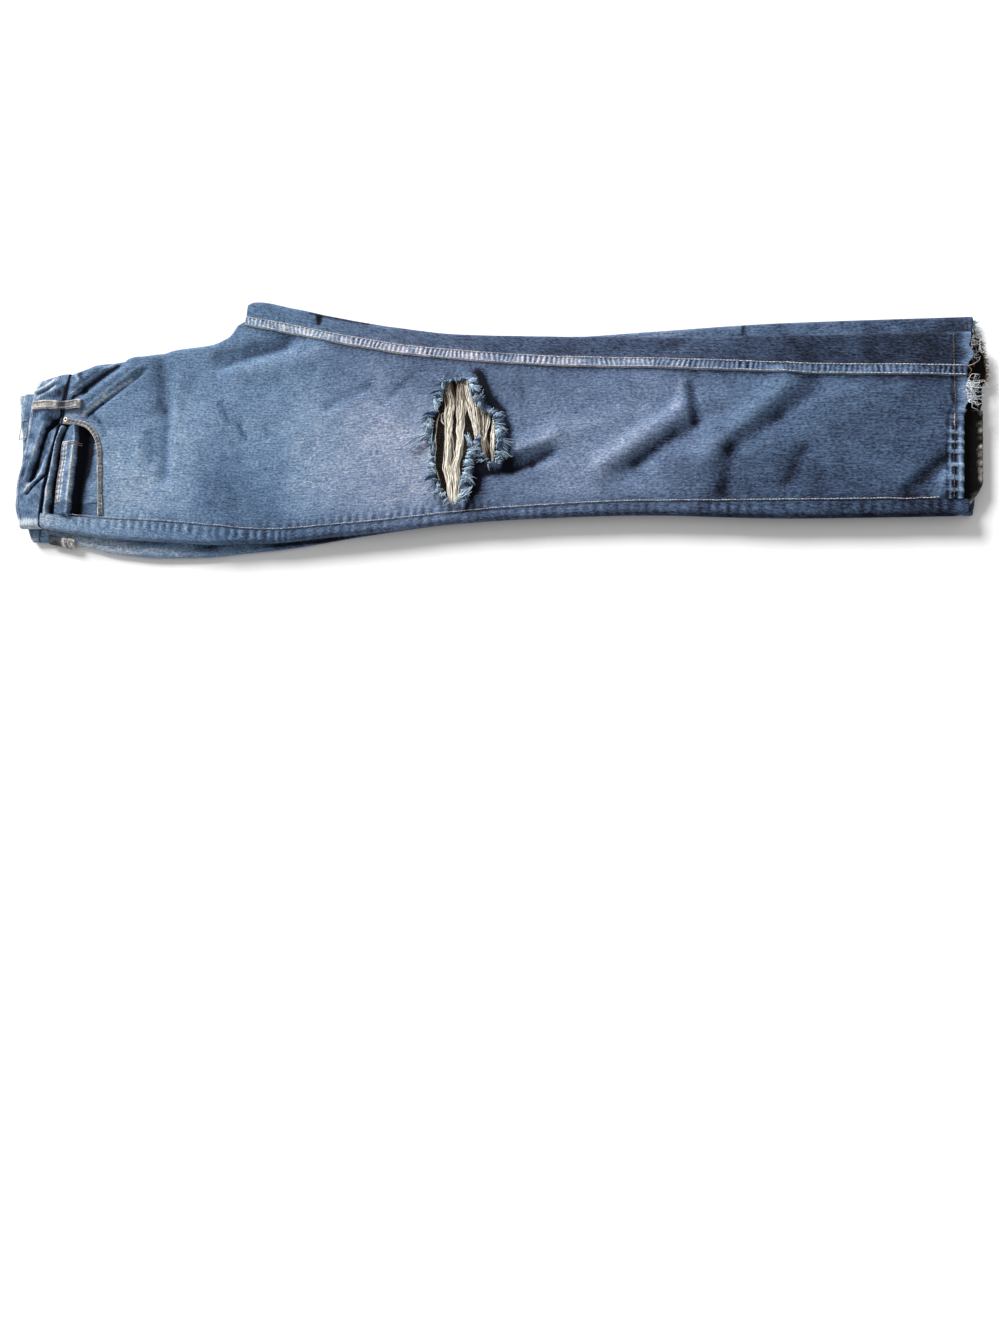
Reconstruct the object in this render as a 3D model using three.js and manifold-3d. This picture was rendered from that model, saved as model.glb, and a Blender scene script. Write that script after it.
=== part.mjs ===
// Ripped jeans, folded in half along the centre front with the right leg uppermost, and laid flat.
// Millimetres, +Z up. In the tables x runs down the legs from the waist, y runs from the outseam
// side to the inseam side, and z = 0 is the surface that the jeans lie on.

import * as THREE from "three";
import { mergeVertices } from "three/addons/utils/BufferGeometryUtils.js";
import Module from "manifold-3d";

const wasm = await Module();
wasm.setup();

// Driving dimensions

const DENIM = 1.2; // one layer of denim
const BAND_CLOTH = 2.4; // the waistband is folded double
const SEAM_GAP = 0.3; // between pieces that are sewn together
const LAY_GAP = 0.4; // between a piece and the panel that it lies on
const UNDER_HEIGHT = 8.4; // the left half, pressed flat under the right one
const UNDER_MOUTH = 2.8; // gap between the left half's layers where its ends show
const UNDER_MOUTH_DEPTH = 45;
const LEG_BOTTOM = 9; // underside of the right leg
const LEG_HEIGHT = 10; // the right leg as a flattened tube
const FOLD_RADIUS = 5; // how far a fold's round edge reaches in from its edge
const CROWN = 2.5; // rise of the uppermost cloth between its folds
const FRONT_CURL = 9; // radius of the centre front edge, where the cloth turns under
const WAIST_X = 36; // waistband seam at the side
const CROTCH_X = 284;
const FRONT_HEM_X = 1085;
const BACK_HEM_X = 1100;
const LEFT_HEM_X = 1094;
const HEM_CORNER = [-11, 24]; // between these, across the leg, the back hem comes in to the low fold
const BAND_WIDTH = 40;
const FELL_WIDTH = 12; // the inseam is a flat fell, sewn with two rows
const LOOP_WIDTH = 11;
const LOOP_CLOTH = 2;
const MOUTH_REACH = 12; // how far the pocket facing runs on under the front
const RIVET_RADIUS = 3.8;
const RIVET_HEIGHT = 2;

// The right leg and seat. Below the crotch, topFold is the leg's fold and inseam its seam; above it,
// inseam is the centre front edge and topFold the centre back edge, which lies inside it.
const RIGHT_HALF = [
  { x: 25, lowFold: -23, outseam: -5, inseam: 170, topFold: 150 },
  { x: 80, lowFold: -31, outseam: -10, inseam: 183, topFold: 162 },
  { x: 130, lowFold: -37, outseam: -14, inseam: 190, topFold: 171 },
  { x: 190, lowFold: -40, outseam: -17, inseam: 199, topFold: 182 },
  { x: 240, lowFold: -43, outseam: -21, inseam: 204, topFold: 188 },
  { x: 262, lowFold: -44, outseam: -23, inseam: 213, topFold: 199 },
  { x: 276, lowFold: -44, outseam: -24, inseam: 224, topFold: 216 },
  { x: 284, lowFold: -44, outseam: -25, inseam: 228, topFold: 251 },
  { x: 293, lowFold: -43, outseam: -26, inseam: 226, topFold: 254 },
  { x: 340, lowFold: -42, outseam: -28, inseam: 216, topFold: 244 },
  { x: 400, lowFold: -36, outseam: -24, inseam: 201, topFold: 229 },
  { x: 470, lowFold: -29, outseam: -18, inseam: 187, topFold: 214 },
  { x: 555, lowFold: -20, outseam: -9, inseam: 174, topFold: 201 },
  { x: 650, lowFold: -14, outseam: -2, inseam: 165, topFold: 195 },
  { x: 760, lowFold: -11, outseam: 2, inseam: 157, topFold: 189 },
  { x: 920, lowFold: -15, outseam: 2, inseam: 146, topFold: 184 },
  { x: 1090, lowFold: -13, outseam: 3, inseam: 136, topFold: 180 },
];

// The left half under it, which shows past the right one beside the seat and beside the shin.
const LEFT_HALF = [
  { x: 20, lowFold: -37, topFold: 160 },
  { x: 80, lowFold: -45, topFold: 177 },
  { x: 140, lowFold: -54, topFold: 188 },
  { x: 193, lowFold: -58, topFold: 198 },
  { x: 250, lowFold: -57, topFold: 206 },
  { x: 276, lowFold: -55, topFold: 223 },
  { x: 292, lowFold: -53, topFold: 250 },
  { x: 350, lowFold: -47, topFold: 238 },
  { x: 450, lowFold: -31, topFold: 213 },
  { x: 555, lowFold: -17, topFold: 196 },
  { x: 660, lowFold: -10, topFold: 191 },
  { x: 774, lowFold: -8, topFold: 197 },
  { x: 900, lowFold: -11, topFold: 201 },
  { x: 1094, lowFold: -10, topFold: 199 },
];

// Where the waistband's edges lie across the fold, the front's on top and the back's inside.
const WAIST_LINES = [
  { y: -45, frontTop: 16, frontSeam: 34, backTop: 12, leftTop: 22 },
  { y: -23, frontTop: 8, frontSeam: 34, backTop: 4, leftTop: 12 },
  { y: 20, frontTop: -1, frontSeam: 36, backTop: -4, leftTop: 0 },
  { y: 60, frontTop: 5, frontSeam: 40, backTop: -5, leftTop: -3 },
  { y: 100, frontTop: 7, frontSeam: 45, backTop: -10, leftTop: -7 },
  { y: 150, frontTop: 9, frontSeam: 52, backTop: -20, leftTop: -15 },
  { y: 175, frontTop: 17, frontSeam: 56, backTop: -22, leftTop: -17 },
];

// The largest folds of the uppermost cloth: a line, half its width, and its rise (or its depth).
const FOLDS = [
  { x0: 68, y0: 141, x1: 124, y1: 181, halfWidth: 7, rise: -4.5 },
  { x0: 74, y0: 130, x1: 140, y1: 178, halfWidth: 8, rise: 4 },
  { x0: 84, y0: 114, x1: 158, y1: 172, halfWidth: 7, rise: -3 },
  { x0: 44, y0: 118, x1: 22, y1: 40, halfWidth: 8, rise: -4 },
  { x0: 30, y0: 122, x1: 8, y1: 34, halfWidth: 9, rise: 3 },
  { x0: 176, y0: 186, x1: 181, y1: 125, halfWidth: 14, rise: -3 },
  { x0: 171, y0: 98, x1: 179, y1: 40, halfWidth: 14, rise: -2.5 },
  { x0: 281, y0: 104, x1: 286, y1: 40, halfWidth: 14, rise: -2.5 },
  { x0: 256, y0: 183, x1: 345, y1: 202, halfWidth: 13, rise: -5 },
  { x0: 285, y0: 168, x1: 385, y1: 186, halfWidth: 16, rise: 2.5 },
  { x0: 616, y0: 42, x1: 664, y1: 64, halfWidth: 11, rise: -3.5 },
  { x0: 608, y0: 62, x1: 668, y1: 82, halfWidth: 12, rise: 2.5 },
  { x0: 721, y0: 44, x1: 812, y1: 107, halfWidth: 14, rise: 6 },
  { x0: 742, y0: 28, x1: 830, y1: 92, halfWidth: 12, rise: -3.5 },
  { x0: 822, y0: 100, x1: 815, y1: 132, halfWidth: 11, rise: -3 },
  { x0: 836, y0: 46, x1: 924, y1: 130, halfWidth: 15, rise: 4 },
  { x0: 860, y0: 36, x1: 944, y1: 116, halfWidth: 13, rise: -3 },
  { x0: 1024, y0: 12, x1: 1070, y1: 50, halfWidth: 12, rise: -3 },
  { x0: 778, y0: 176, x1: 800, y1: 184, halfWidth: 12, rise: -2 },
];

// The pocket facing buckles up under the coin pocket, with a hollow on each side of that ridge.
const FACING_FOLDS = [
  { x0: 66, y0: 100, x1: 64, y1: -4, halfWidth: 9, rise: 5.5 },
  { x0: 92, y0: 92, x1: 88, y1: 2, halfWidth: 11, rise: -4.5 },
  { x0: 47, y0: 84, x1: 45, y1: 6, halfWidth: 6, rise: -2.5 },
];

// The pocket mouth, from the rivet by the waistband round to the outseam.
const POCKET_MOUTH = [
  { x: 30, y: 107 },
  { x: 62, y: 105.5 },
  { x: 82, y: 102 },
  { x: 97, y: 90 },
  { x: 105, y: 70 },
  { x: 109, y: 40 },
  { x: 117, y: -30 },
];

const COIN_POCKET = { xFrom: 55, xTo: 100, yFrom: 6, yTo: 83 };

// The rip over the knee is two holes that run together, each as sections across the leg.
const RIP_MAIN = [
  { y: 143, left: 538, right: 569 },
  { y: 121, left: 534, right: 574 },
  { y: 101, left: 525, right: 583 },
  { y: 80, left: 524, right: 577 },
  { y: 62, left: 529, right: 572 },
  { y: 44, left: 529, right: 569 },
  { y: 28, left: 533, right: 567 },
  { y: 12, left: 543, right: 565 },
  { y: 2, left: 550, right: 561 },
];
const RIP_SIDE = [
  { y: 106, left: 570, right: 588 },
  { y: 99, left: 570, right: 598 },
  { y: 80, left: 572, right: 603 },
  { y: 60, left: 583, right: 605 },
  { y: 47, left: 593, right: 603 },
];

// Bundles of bare weft that cross the rip, from its inseam side to its outseam side.
const MAIN_YARNS = [
  { x0: 539, y0: 149, x1: 543, y1: -4, bow: -9, width: 1.6 },
  { x0: 545, y0: 149, x1: 549, y1: -4, bow: -4, width: 5 },
  { x0: 553, y0: 149, x1: 553, y1: -4, bow: 1, width: 4 },
  { x0: 559, y0: 149, x1: 557, y1: -4, bow: 3, width: 3 },
];
const SIDE_YARNS = [
  { x0: 569, y0: 144, x1: 579, y1: 52, bow: -2, width: 5 },
  { x0: 574, y0: 136, x1: 587, y1: 48, bow: -1, width: 4 },
  { x0: 585, y0: 120, x1: 594, y1: 44, bow: -2, width: 3 },
  { x0: 593, y0: 114, x1: 601, y1: 41, bow: 2, width: 4 },
];

// Frayed edges: a line of roots, the strands on it, how long they are and which way they lie.
const HEM_FRAYS = [
  { name: "right_front_hem_fray", piece: "front", from: 92, to: 134, count: 16, long: 9 },
  { name: "right_top_hem_fray", piece: "strip", from: 138, to: 174, count: 14, long: 8 },
  { name: "right_back_hem_fray", piece: "back", from: 104, to: 172, count: 20, long: 13 },
  { name: "left_hem_fray", piece: "left", from: 180, to: 194, count: 6, long: 5 },
];
const RIP_FRAYS = [
  { name: "rip_fray_waist_side", rows: RIP_MAIN, edge: "left", from: 134, to: 30, count: 19, long: 8 },
  { name: "rip_fray_knee_side", rows: RIP_MAIN, edge: "right", from: 141, to: 114, count: 8, long: 8 },
  { name: "rip_fray_shin_side", rows: RIP_SIDE, edge: "right", from: 96, to: 50, count: 12, long: 8 },
];
const FRAY_ROOT = 1.6; // width of the strip of loose cloth that the strands grow from
const STRAND = 1.1;
const STRAND_TIP = 0.3;

// Small helpers

const mix = (a, b, t) => a + (b - a) * t;
const clamp = (v, low, high) => Math.min(high, Math.max(low, v));
const smooth = (from, to, v) => {
  const t = clamp((v - from) / (to - from), 0, 1);
  return t * t * (3 - 2 * t);
};

// Even places from one end up to, but not at, the other.
function spaced(from, to, count) {
  return Array.from({ length: count }, (_, k) => mix(from, to, k / count));
}

// A repeatable uneven number from -1 to 1 for the k-th of something.
function uneven(k, salt) {
  const wave = Math.sin(k * 12.9898 + salt * 78.233) * 43758.5453;
  return 2 * (wave - Math.floor(wave)) - 1;
}

// Reads one column of a table, along a smooth curve that never overshoots its rows.
function readTable(rows, key, column, at) {
  const last = rows.length - 1;
  if (at <= rows[0][key]) return rows[0][column];
  if (at >= rows[last][key]) return rows[last][column];
  const k = rows.findIndex((row, i) => at < rows[i + 1][key]);
  const slope = (i) => (rows[i + 1][column] - rows[i][column]) / (rows[i + 1][key] - rows[i][key]);
  const tangent = (i) => {
    if (i === 0) return slope(0);
    if (i === last) return slope(last - 1);
    const before = slope(i - 1);
    const after = slope(i);
    return before * after <= 0 ? 0 : (2 * before * after) / (before + after);
  };
  const span = rows[k + 1][key] - rows[k][key];
  const t = (at - rows[k][key]) / span;
  const curve = [1 - 3 * t * t + 2 * t ** 3, t - 2 * t * t + t ** 3, 3 * t * t - 2 * t ** 3, t ** 3 - t * t];
  return (
    curve[0] * rows[k][column] +
    curve[1] * span * tangent(k) +
    curve[2] * rows[k + 1][column] +
    curve[3] * span * tangent(k + 1)
  );
}

const rightHalf = (x, column) => readTable(RIGHT_HALF, "x", column, x);
const leftHalf = (x, column) => readTable(LEFT_HALF, "x", column, x);
const waistLine = (y, column) => readTable(WAIST_LINES, "y", column, y);

// Height that a table of folds adds at a place.
function foldRise(folds, x, y) {
  return folds.reduce((sum, fold) => {
    const along = new THREE.Vector2(fold.x1 - fold.x0, fold.y1 - fold.y0);
    const from = new THREE.Vector2(x - fold.x0, y - fold.y0);
    const t = clamp(from.dot(along) / along.lengthSq(), 0, 1);
    const off = from.addScaledVector(along, -t).length();
    return sum + fold.rise * Math.exp(-((off / fold.halfWidth) ** 2));
  }, 0);
}

// Height of the uppermost cloth.
function topCloth(x, y) {
  const low = rightHalf(x, "lowFold");
  const top = Math.max(rightHalf(x, "topFold"), rightHalf(x, "inseam"));
  const across = clamp((2 * y - low - top) / (top - low), -1, 1);
  return LEG_BOTTOM + LEG_HEIGHT + CROWN * (1 - across * across) + foldRise(FOLDS, x, y);
}

// A row of cloth at a station is slid along the leg so that it starts on the waistband's seam.
function slideToSeam(station, y, column) {
  const fade = clamp(1 - (station - WAIST_X) / 90, 0, 1);
  return fade * (waistLine(y, column) - WAIST_X + SEAM_GAP);
}

// Solids

function solidOf(geometry) {
  const bare = geometry.clone().deleteAttribute("normal").deleteAttribute("uv");
  const merged = mergeVertices(bare, 1e-4);
  return new wasm.Manifold(
    new wasm.Mesh({
      numProp: 3,
      vertProperties: merged.attributes.position.array,
      triVerts: new Uint32Array(merged.index.array),
    }),
  );
}

function geometryOf(solid) {
  const mesh = solid.getMesh();
  return new THREE.BufferGeometry()
    .setAttribute("position", new THREE.BufferAttribute(mesh.vertProperties, 3))
    .setIndex(new THREE.BufferAttribute(mesh.triVerts, 1));
}

function fromPoints(points, triangles) {
  return new THREE.BufferGeometry()
    .setFromPoints(points)
    .setIndex(triangles.flat());
}

const cutAway = (geometry, ...cutters) =>
  geometryOf(cutters.reduce((rest, cutter) => rest.subtract(solidOf(cutter)), solidOf(geometry)));
const joined = (geometries) =>
  geometryOf(geometries.map(solidOf).reduce((whole, next) => whole.add(next)));

// The cells of a grid that are kept, as the places of their corners in one list of its points.
function cellsOf(grid, keep) {
  const columns = grid[0].length;
  const at = (i, j) => i * columns + j;
  const cells = [];
  for (let i = 0; i < grid.length - 1; i++) {
    for (let j = 0; j < columns - 1; j++) {
      if (keep(i, j)) cells.push([at(i, j), at(i + 1, j), at(i + 1, j + 1), at(i, j + 1)]);
    }
  }
  return cells;
}

// The way that a grid's cloth faces at each of its points, in rows.
function leansOf(grid, keep = () => true) {
  const outer = grid.flat();
  const normals = outer.map(() => new THREE.Vector3());
  for (const cell of cellsOf(grid, keep)) {
    const across = outer[cell[2]].clone().sub(outer[cell[0]]);
    const normal = across.cross(outer[cell[3]].clone().sub(outer[cell[1]]));
    cell.forEach((corner) => normals[corner].add(normal));
  }
  const columns = grid[0].length;
  return grid.map((_, i) => normals.slice(i * columns, (i + 1) * columns).map((n) => n.normalize()));
}

// A wall of cloth: the grid's points are its outer side, and its inner side is moved in along their
// normals. keep(row, column) says which cells are cloth; a wall is closed along all its edges.
function wall(grid, thickness, keep = () => true, leans = leansOf(grid, keep)) {
  const outer = grid.flat();
  const cells = cellsOf(grid, keep);
  const edges = new Set();
  for (const cell of cells) cell.forEach((corner, k) => edges.add(`${corner} ${cell[(k + 1) % 4]}`));
  const normals = leans.flat();
  const inner = outer.map((p, k) => p.clone().addScaledVector(normals[k], -thickness));
  const inside = outer.length;
  const triangles = [];
  for (const [a, b, c, d] of cells) {
    triangles.push([a, b, c], [a, c, d]);
    triangles.push([a + inside, c + inside, b + inside], [a + inside, d + inside, c + inside]);
  }
  for (const edge of edges) {
    const [a, b] = edge.split(" ").map(Number);
    if (edges.has(`${b} ${a}`)) continue;
    triangles.push([a, a + inside, b], [b, a + inside, b + inside]);
  }
  const used = [...new Set(triangles.flat())];
  const renumbered = new Map(used.map((old, k) => [old, k]));
  const points = [...outer, ...inner];
  return fromPoints(
    used.map((old) => points[old]),
    triangles.map((triangle) => triangle.map((old) => renumbered.get(old))),
  );
}

// Height of a wall's outer facets at a place, for what lies on it.
function heightOn(grid, x, y) {
  const place = new THREE.Vector3(x, y, 0);
  let height = -Infinity;
  for (let i = 0; i < grid.length - 1; i++) {
    for (let j = 0; j < grid[0].length - 1; j++) {
      const [a, b, c, d] = [grid[i][j], grid[i + 1][j], grid[i + 1][j + 1], grid[i][j + 1]];
      for (const corners of [[a, b, c], [a, c, d]]) {
        const flat = corners.map((p) => new THREE.Vector3(p.x, p.y, 0));
        const share = THREE.Triangle.getBarycoord(place, ...flat, new THREE.Vector3());
        if (!share || Math.min(share.x, share.y, share.z) < -1e-6) continue;
        height = Math.max(height, share.x * corners[0].z + share.y * corners[1].z + share.z * corners[2].z);
      }
    }
  }
  return height;
}

// A strip of rectangular section along points, with its width level and its own width at each point.
function strip(points, widths, thickness) {
  const corners = points.flatMap((p, k) => {
    const ahead = points[Math.min(k + 1, points.length - 1)];
    const behind = points[Math.max(k - 1, 0)];
    const side = new THREE.Vector3(behind.y - ahead.y, ahead.x - behind.x, 0).setLength(widths[k] / 2);
    const up = new THREE.Vector3(0, 0, thickness);
    const [right, left] = [p.clone().sub(side), p.clone().add(side)];
    return [right, left, left.clone().add(up), right.clone().add(up)];
  });
  const triangles = [[0, 2, 1], [0, 3, 2]];
  for (let k = 0; k < points.length - 1; k++) {
    for (let side = 0; side < 4; side++) {
      const [a, b] = [4 * k + side, 4 * k + ((side + 1) % 4)];
      triangles.push([a, b, b + 4], [a, b + 4, a + 4]);
    }
  }
  const end = 4 * (points.length - 1);
  triangles.push([end, end + 1, end + 2], [end, end + 2, end + 3]);
  return fromPoints(corners, triangles);
}

// A rounded flat solid between two folds, with sections of stadium outline from one end to the other.
function stadium(stations, section) {
  const arc = 5;
  const rows = stations.map((x) => {
    const { low, top, bottom, height, slide } = section(x);
    const radius = height / 2;
    const corner = (y, side) => (k) => {
      const turn = Math.PI * (k / arc - 0.5) + (side < 0 ? Math.PI : 0);
      const yAt = y - side * radius + radius * Math.cos(turn);
      return new THREE.Vector3(x + slide(yAt), yAt, bottom + radius + radius * Math.sin(turn));
    };
    const steps = Array.from({ length: arc + 1 }, (_, k) => k);
    return [...steps.map(corner(top, 1)), ...steps.map(corner(low, -1))];
  });
  const around = rows[0].length;
  const triangles = [];
  for (let i = 0; i < rows.length - 1; i++) {
    for (let j = 0; j < around; j++) {
      const [a, b] = [i * around + j, i * around + ((j + 1) % around)];
      triangles.push([a, a + around, b], [b, a + around, b + around]);
    }
  }
  const end = (rows.length - 1) * around;
  for (let j = 1; j < around - 1; j++) {
    triangles.push([0, j, j + 1], [end, end + j + 1, end + j]);
  }
  return fromPoints(rows.flat(), triangles.map(([a, b, c]) => [a, c, b]));
}

// A cutter that goes straight down through everything inside an outline.
function downThrough(outline) {
  const depth = 80;
  return new THREE.ExtrudeGeometry(outline, { depth, bevelEnabled: false }).translate(0, 0, -depth / 4);
}

// Panels of the right leg

const frontStations = [
  ...spaced(WAIST_X, 130, 10),
  ...spaced(130, CROTCH_X, 12),
  ...spaced(CROTCH_X, FRONT_HEM_X, 51),
  FRONT_HEM_X,
];

const FRONT_FLAT_COLUMNS = 10;
const FRONT_CURL_COLUMNS = 4;
const EDGE_FLAT = 2; // how far from a fold its edge piece is parted

// One row of the front: flat from the outseam, and curled under at the centre front edge.
function frontRow(station) {
  const outseam = rightHalf(station, "outseam") + SEAM_GAP / 2;
  const edge = rightHalf(station, "inseam") - SEAM_GAP / 2;
  const curl = 1 - smooth(CROTCH_X - 22, CROTCH_X, station);
  const turnStart = edge - FRONT_CURL;
  const along = (y) => station + slideToSeam(station, y, "frontSeam");
  const turnHeight = topCloth(along(turnStart), turnStart);
  const turn = Math.acos(1 - (turnHeight - LEG_BOTTOM - SEAM_GAP) / FRONT_CURL);
  const length = mix(FRONT_CURL, FRONT_CURL * turn, curl);
  const row = [];
  const add = (y, z) => row.push(new THREE.Vector3(along(y), y, z));
  for (let k = 0; k <= FRONT_FLAT_COLUMNS; k++) {
    const y = mix(outseam, turnStart - EDGE_FLAT, k / FRONT_FLAT_COLUMNS);
    add(y, topCloth(along(y), y));
  }
  for (let k = 0; k <= FRONT_CURL_COLUMNS; k++) {
    const run = (length * k) / FRONT_CURL_COLUMNS;
    const angle = (curl * run) / FRONT_CURL;
    const y = turnStart + mix(run, FRONT_CURL * Math.sin(run / FRONT_CURL), curl);
    const dropped = turnHeight - FRONT_CURL * (1 - Math.cos(angle));
    add(y, mix(topCloth(along(y), y), dropped, curl));
  }
  return row;
}

const frontGrid = frontStations.map(frontRow);

function outlineOf(rows) {
  const side = (column) => rows.map((row) => new THREE.Vector2(row[column], row.y));
  return new THREE.Shape([...side("left"), ...side("right").reverse()]);
}

function pocketScoop() {
  const mouth = POCKET_MOUTH.map(({ x, y }) => new THREE.Vector2(x, y));
  const outline = new THREE.Shape().moveTo(mouth[0].x, mouth[0].y);
  outline.splineThru(mouth.slice(1));
  const beyondWaist = -40;
  return outline.lineTo(beyondWaist, mouth.at(-1).y).lineTo(beyondWaist, mouth[0].y);
}

// A block of a grid's rows and columns as a piece of its own, drawn in by half a seam's gap wherever the
// grid runs on past it.
function blockOf(grid, rows, columns) {
  const drawn = (end, next) => end.clone().add(next.clone().sub(end).setLength(SEAM_GAP / 2));
  const drawEnds = (line, [from, to]) => {
    const part = line.slice(from, to + 1);
    const first = from > 0 ? drawn(part[0], part[1]) : part[0];
    const last = to < line.length - 1 ? drawn(part.at(-1), part.at(-2)) : part.at(-1);
    return [first, ...part.slice(1, -1), last];
  };
  const turned = (lines) => lines[0].map((_, k) => lines.map((line) => line[k]));
  const narrowed = grid.map((row) => drawEnds(row, columns));
  return turned(turned(narrowed).map((column) => drawEnds(column, rows)));
}

// The wall of such a block, which leans at its cuts as the whole panel does there.
function parted(grid, [firstRow, lastRow], [firstColumn, lastColumn]) {
  const leans = leansOf(grid).slice(firstRow, lastRow + 1);
  const block = blockOf(grid, [firstRow, lastRow], [firstColumn, lastColumn]);
  return wall(block, DENIM, () => true, leans.map((row) => row.slice(firstColumn, lastColumn + 1)));
}

// The front as far as the edge that turns under at the centre front, which is a piece of its own.
function rightFront() {
  const holes = [outlineOf(RIP_MAIN), outlineOf(RIP_SIDE), pocketScoop()];
  const last = frontStations.length - 1;
  const seat = blockOf(frontGrid, [0, last], [0, FRONT_FLAT_COLUMNS]);
  const crotchRow = frontStations.indexOf(CROTCH_X);
  const grid = frontGrid.map((row, i) => {
    const past = i === crotchRow ? SEAM_GAP : 0;
    const end = i <= crotchRow ? seat[i].at(-1) : row[FRONT_FLAT_COLUMNS];
    const after = row.slice(FRONT_FLAT_COLUMNS + 1).map(({ x, y, z }) => new THREE.Vector3(x + past, y, z));
    return [...row.slice(0, FRONT_FLAT_COLUMNS), end, ...after];
  });
  const keep = (i, j) => i >= crotchRow || j < FRONT_FLAT_COLUMNS;
  const leg = wall(grid, DENIM, keep, leansOf(frontGrid));
  return cutAway(leg, ...holes.map(downThrough));
}

function frontRiseEdge() {
  const columns = [FRONT_FLAT_COLUMNS, FRONT_FLAT_COLUMNS + 1 + FRONT_CURL_COLUMNS];
  return parted(frontGrid, [0, frontStations.indexOf(CROTCH_X)], columns);
}

const backStations = [
  ...spaced(WAIST_X, CROTCH_X, 13),
  CROTCH_X,
  ...spaced(CROTCH_X + 9, BACK_HEM_X, 28),
  BACK_HEM_X,
];
const STRIP_COLUMNS = 2;
const ARC_COLUMNS = 5;
const UNDER_COLUMNS = 5;

// One row of the back: from the inseam over the top fold, along underneath, and up to the outseam.
function backRow(station) {
  const onTop = station + hemSlide(station);
  const [inseam, outseam] = ["inseam", "outseam"].map((seam) => rightHalf(onTop, seam));
  const [topFold, lowFold] = ["topFold", "lowFold"].map((fold) => rightHalf(onTop, fold));
  const row = [];
  const add = (y, z, under) => row.push(new THREE.Vector3(station + slideBack(station, y, under), y, z));
  const addFold = (edge, side) => {
    const high = topCloth(onTop, edge - side * FOLD_RADIUS) - LEG_BOTTOM;
    for (let k = 0; k <= ARC_COLUMNS; k++) {
      const turn = (Math.PI * (side > 0 ? k : ARC_COLUMNS - k)) / ARC_COLUMNS;
      const y = edge - side * FOLD_RADIUS * (1 - Math.sin(turn));
      const under = (1 - Math.cos(turn)) / 2;
      add(y, LEG_BOTTOM + high * (1 - under), under);
    }
  };
  for (let k = 0; k < STRIP_COLUMNS; k++) {
    const y = mix(inseam + SEAM_GAP / 2, topFold - FOLD_RADIUS, k / STRIP_COLUMNS);
    add(y, topCloth(onTop, y), 0);
  }
  addFold(topFold, 1);
  const [flatFrom, flatTo] = [topFold - FOLD_RADIUS - EDGE_FLAT, lowFold + FOLD_RADIUS + EDGE_FLAT];
  for (let k = 0; k <= UNDER_COLUMNS; k++) add(mix(flatFrom, flatTo, k / UNDER_COLUMNS), LEG_BOTTOM, 1);
  addFold(lowFold, -1);
  for (let k = 1; k <= STRIP_COLUMNS; k++) {
    const y = mix(lowFold + FOLD_RADIUS, outseam - SEAM_GAP / 2, k / STRIP_COLUMNS);
    add(y, topCloth(onTop, y), 0);
  }
  return row;
}

// How far a row of the back is drawn in at the hem where it lies on top.
function hemSlide(station) {
  return smooth(BACK_HEM_X - 120, BACK_HEM_X, station) * (FRONT_HEM_X - BACK_HEM_X);
}

// Slides a row of the back to its waistband seam and to its hem, which lie further out underneath
// (under = 1) than on top (under = 0), except in the corner by the low fold.
function slideBack(station, y, under) {
  const seam = mix(waistLine(y, "frontSeam"), waistLine(y, "backTop") + BAND_WIDTH, under);
  const waist = clamp(1 - (station - WAIST_X) / 90, 0, 1) * (seam - WAIST_X + SEAM_GAP);
  return waist + (1 - under * smooth(...HEM_CORNER, y)) * hemSlide(station);
}

const backGrid = backStations.map(backRow);

// The back lies underneath as one flat piece. Its edges, which come round the folds and lie on top, are
// pieces of their own. Above the crotch it has no top edge: it runs on inside to the centre back.
const TOP_EDGE_COLUMNS = [0, STRIP_COLUMNS + ARC_COLUMNS + 1];
const FLAT_COLUMNS = [TOP_EDGE_COLUMNS[1], TOP_EDGE_COLUMNS[1] + UNDER_COLUMNS];
const LOW_EDGE_COLUMNS = [FLAT_COLUMNS[1], FLAT_COLUMNS[1] + 1 + ARC_COLUMNS + STRIP_COLUMNS];
const LOW_EDGES = [
  { name: "right_back_low_edge_thigh", from: WAIST_X, to: 340 },
  { name: "right_back_low_edge_knee", from: 340, to: 600 },
  { name: "right_back_low_edge_shin", from: 600, to: BACK_HEM_X },
];

function backBlock(xFrom, xTo, columns) {
  const rowAt = (x) => backStations.findIndex((station) => station >= x);
  return parted(backGrid, [rowAt(xFrom), rowAt(xTo)], columns);
}

// The inseam's allowances are folded flat into a raised band, sewn down along both its sides.
function inseamFell() {
  const rows = frontStations
    .filter((station) => station >= CROTCH_X)
    .map((station) => {
      const seam = rightHalf(station, "inseam");
      return [-1, -0.45, 0.45, 1].map((across) => {
        const y = seam + (across * FELL_WIDTH) / 2;
        const rim = Math.abs(across) === 1 ? 0 : DENIM / 2;
        return new THREE.Vector3(station, y, topCloth(station, y) + 2 * LAY_GAP + DENIM + rim);
      });
    });
  return wall(rows, DENIM);
}

// Waistband

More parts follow.
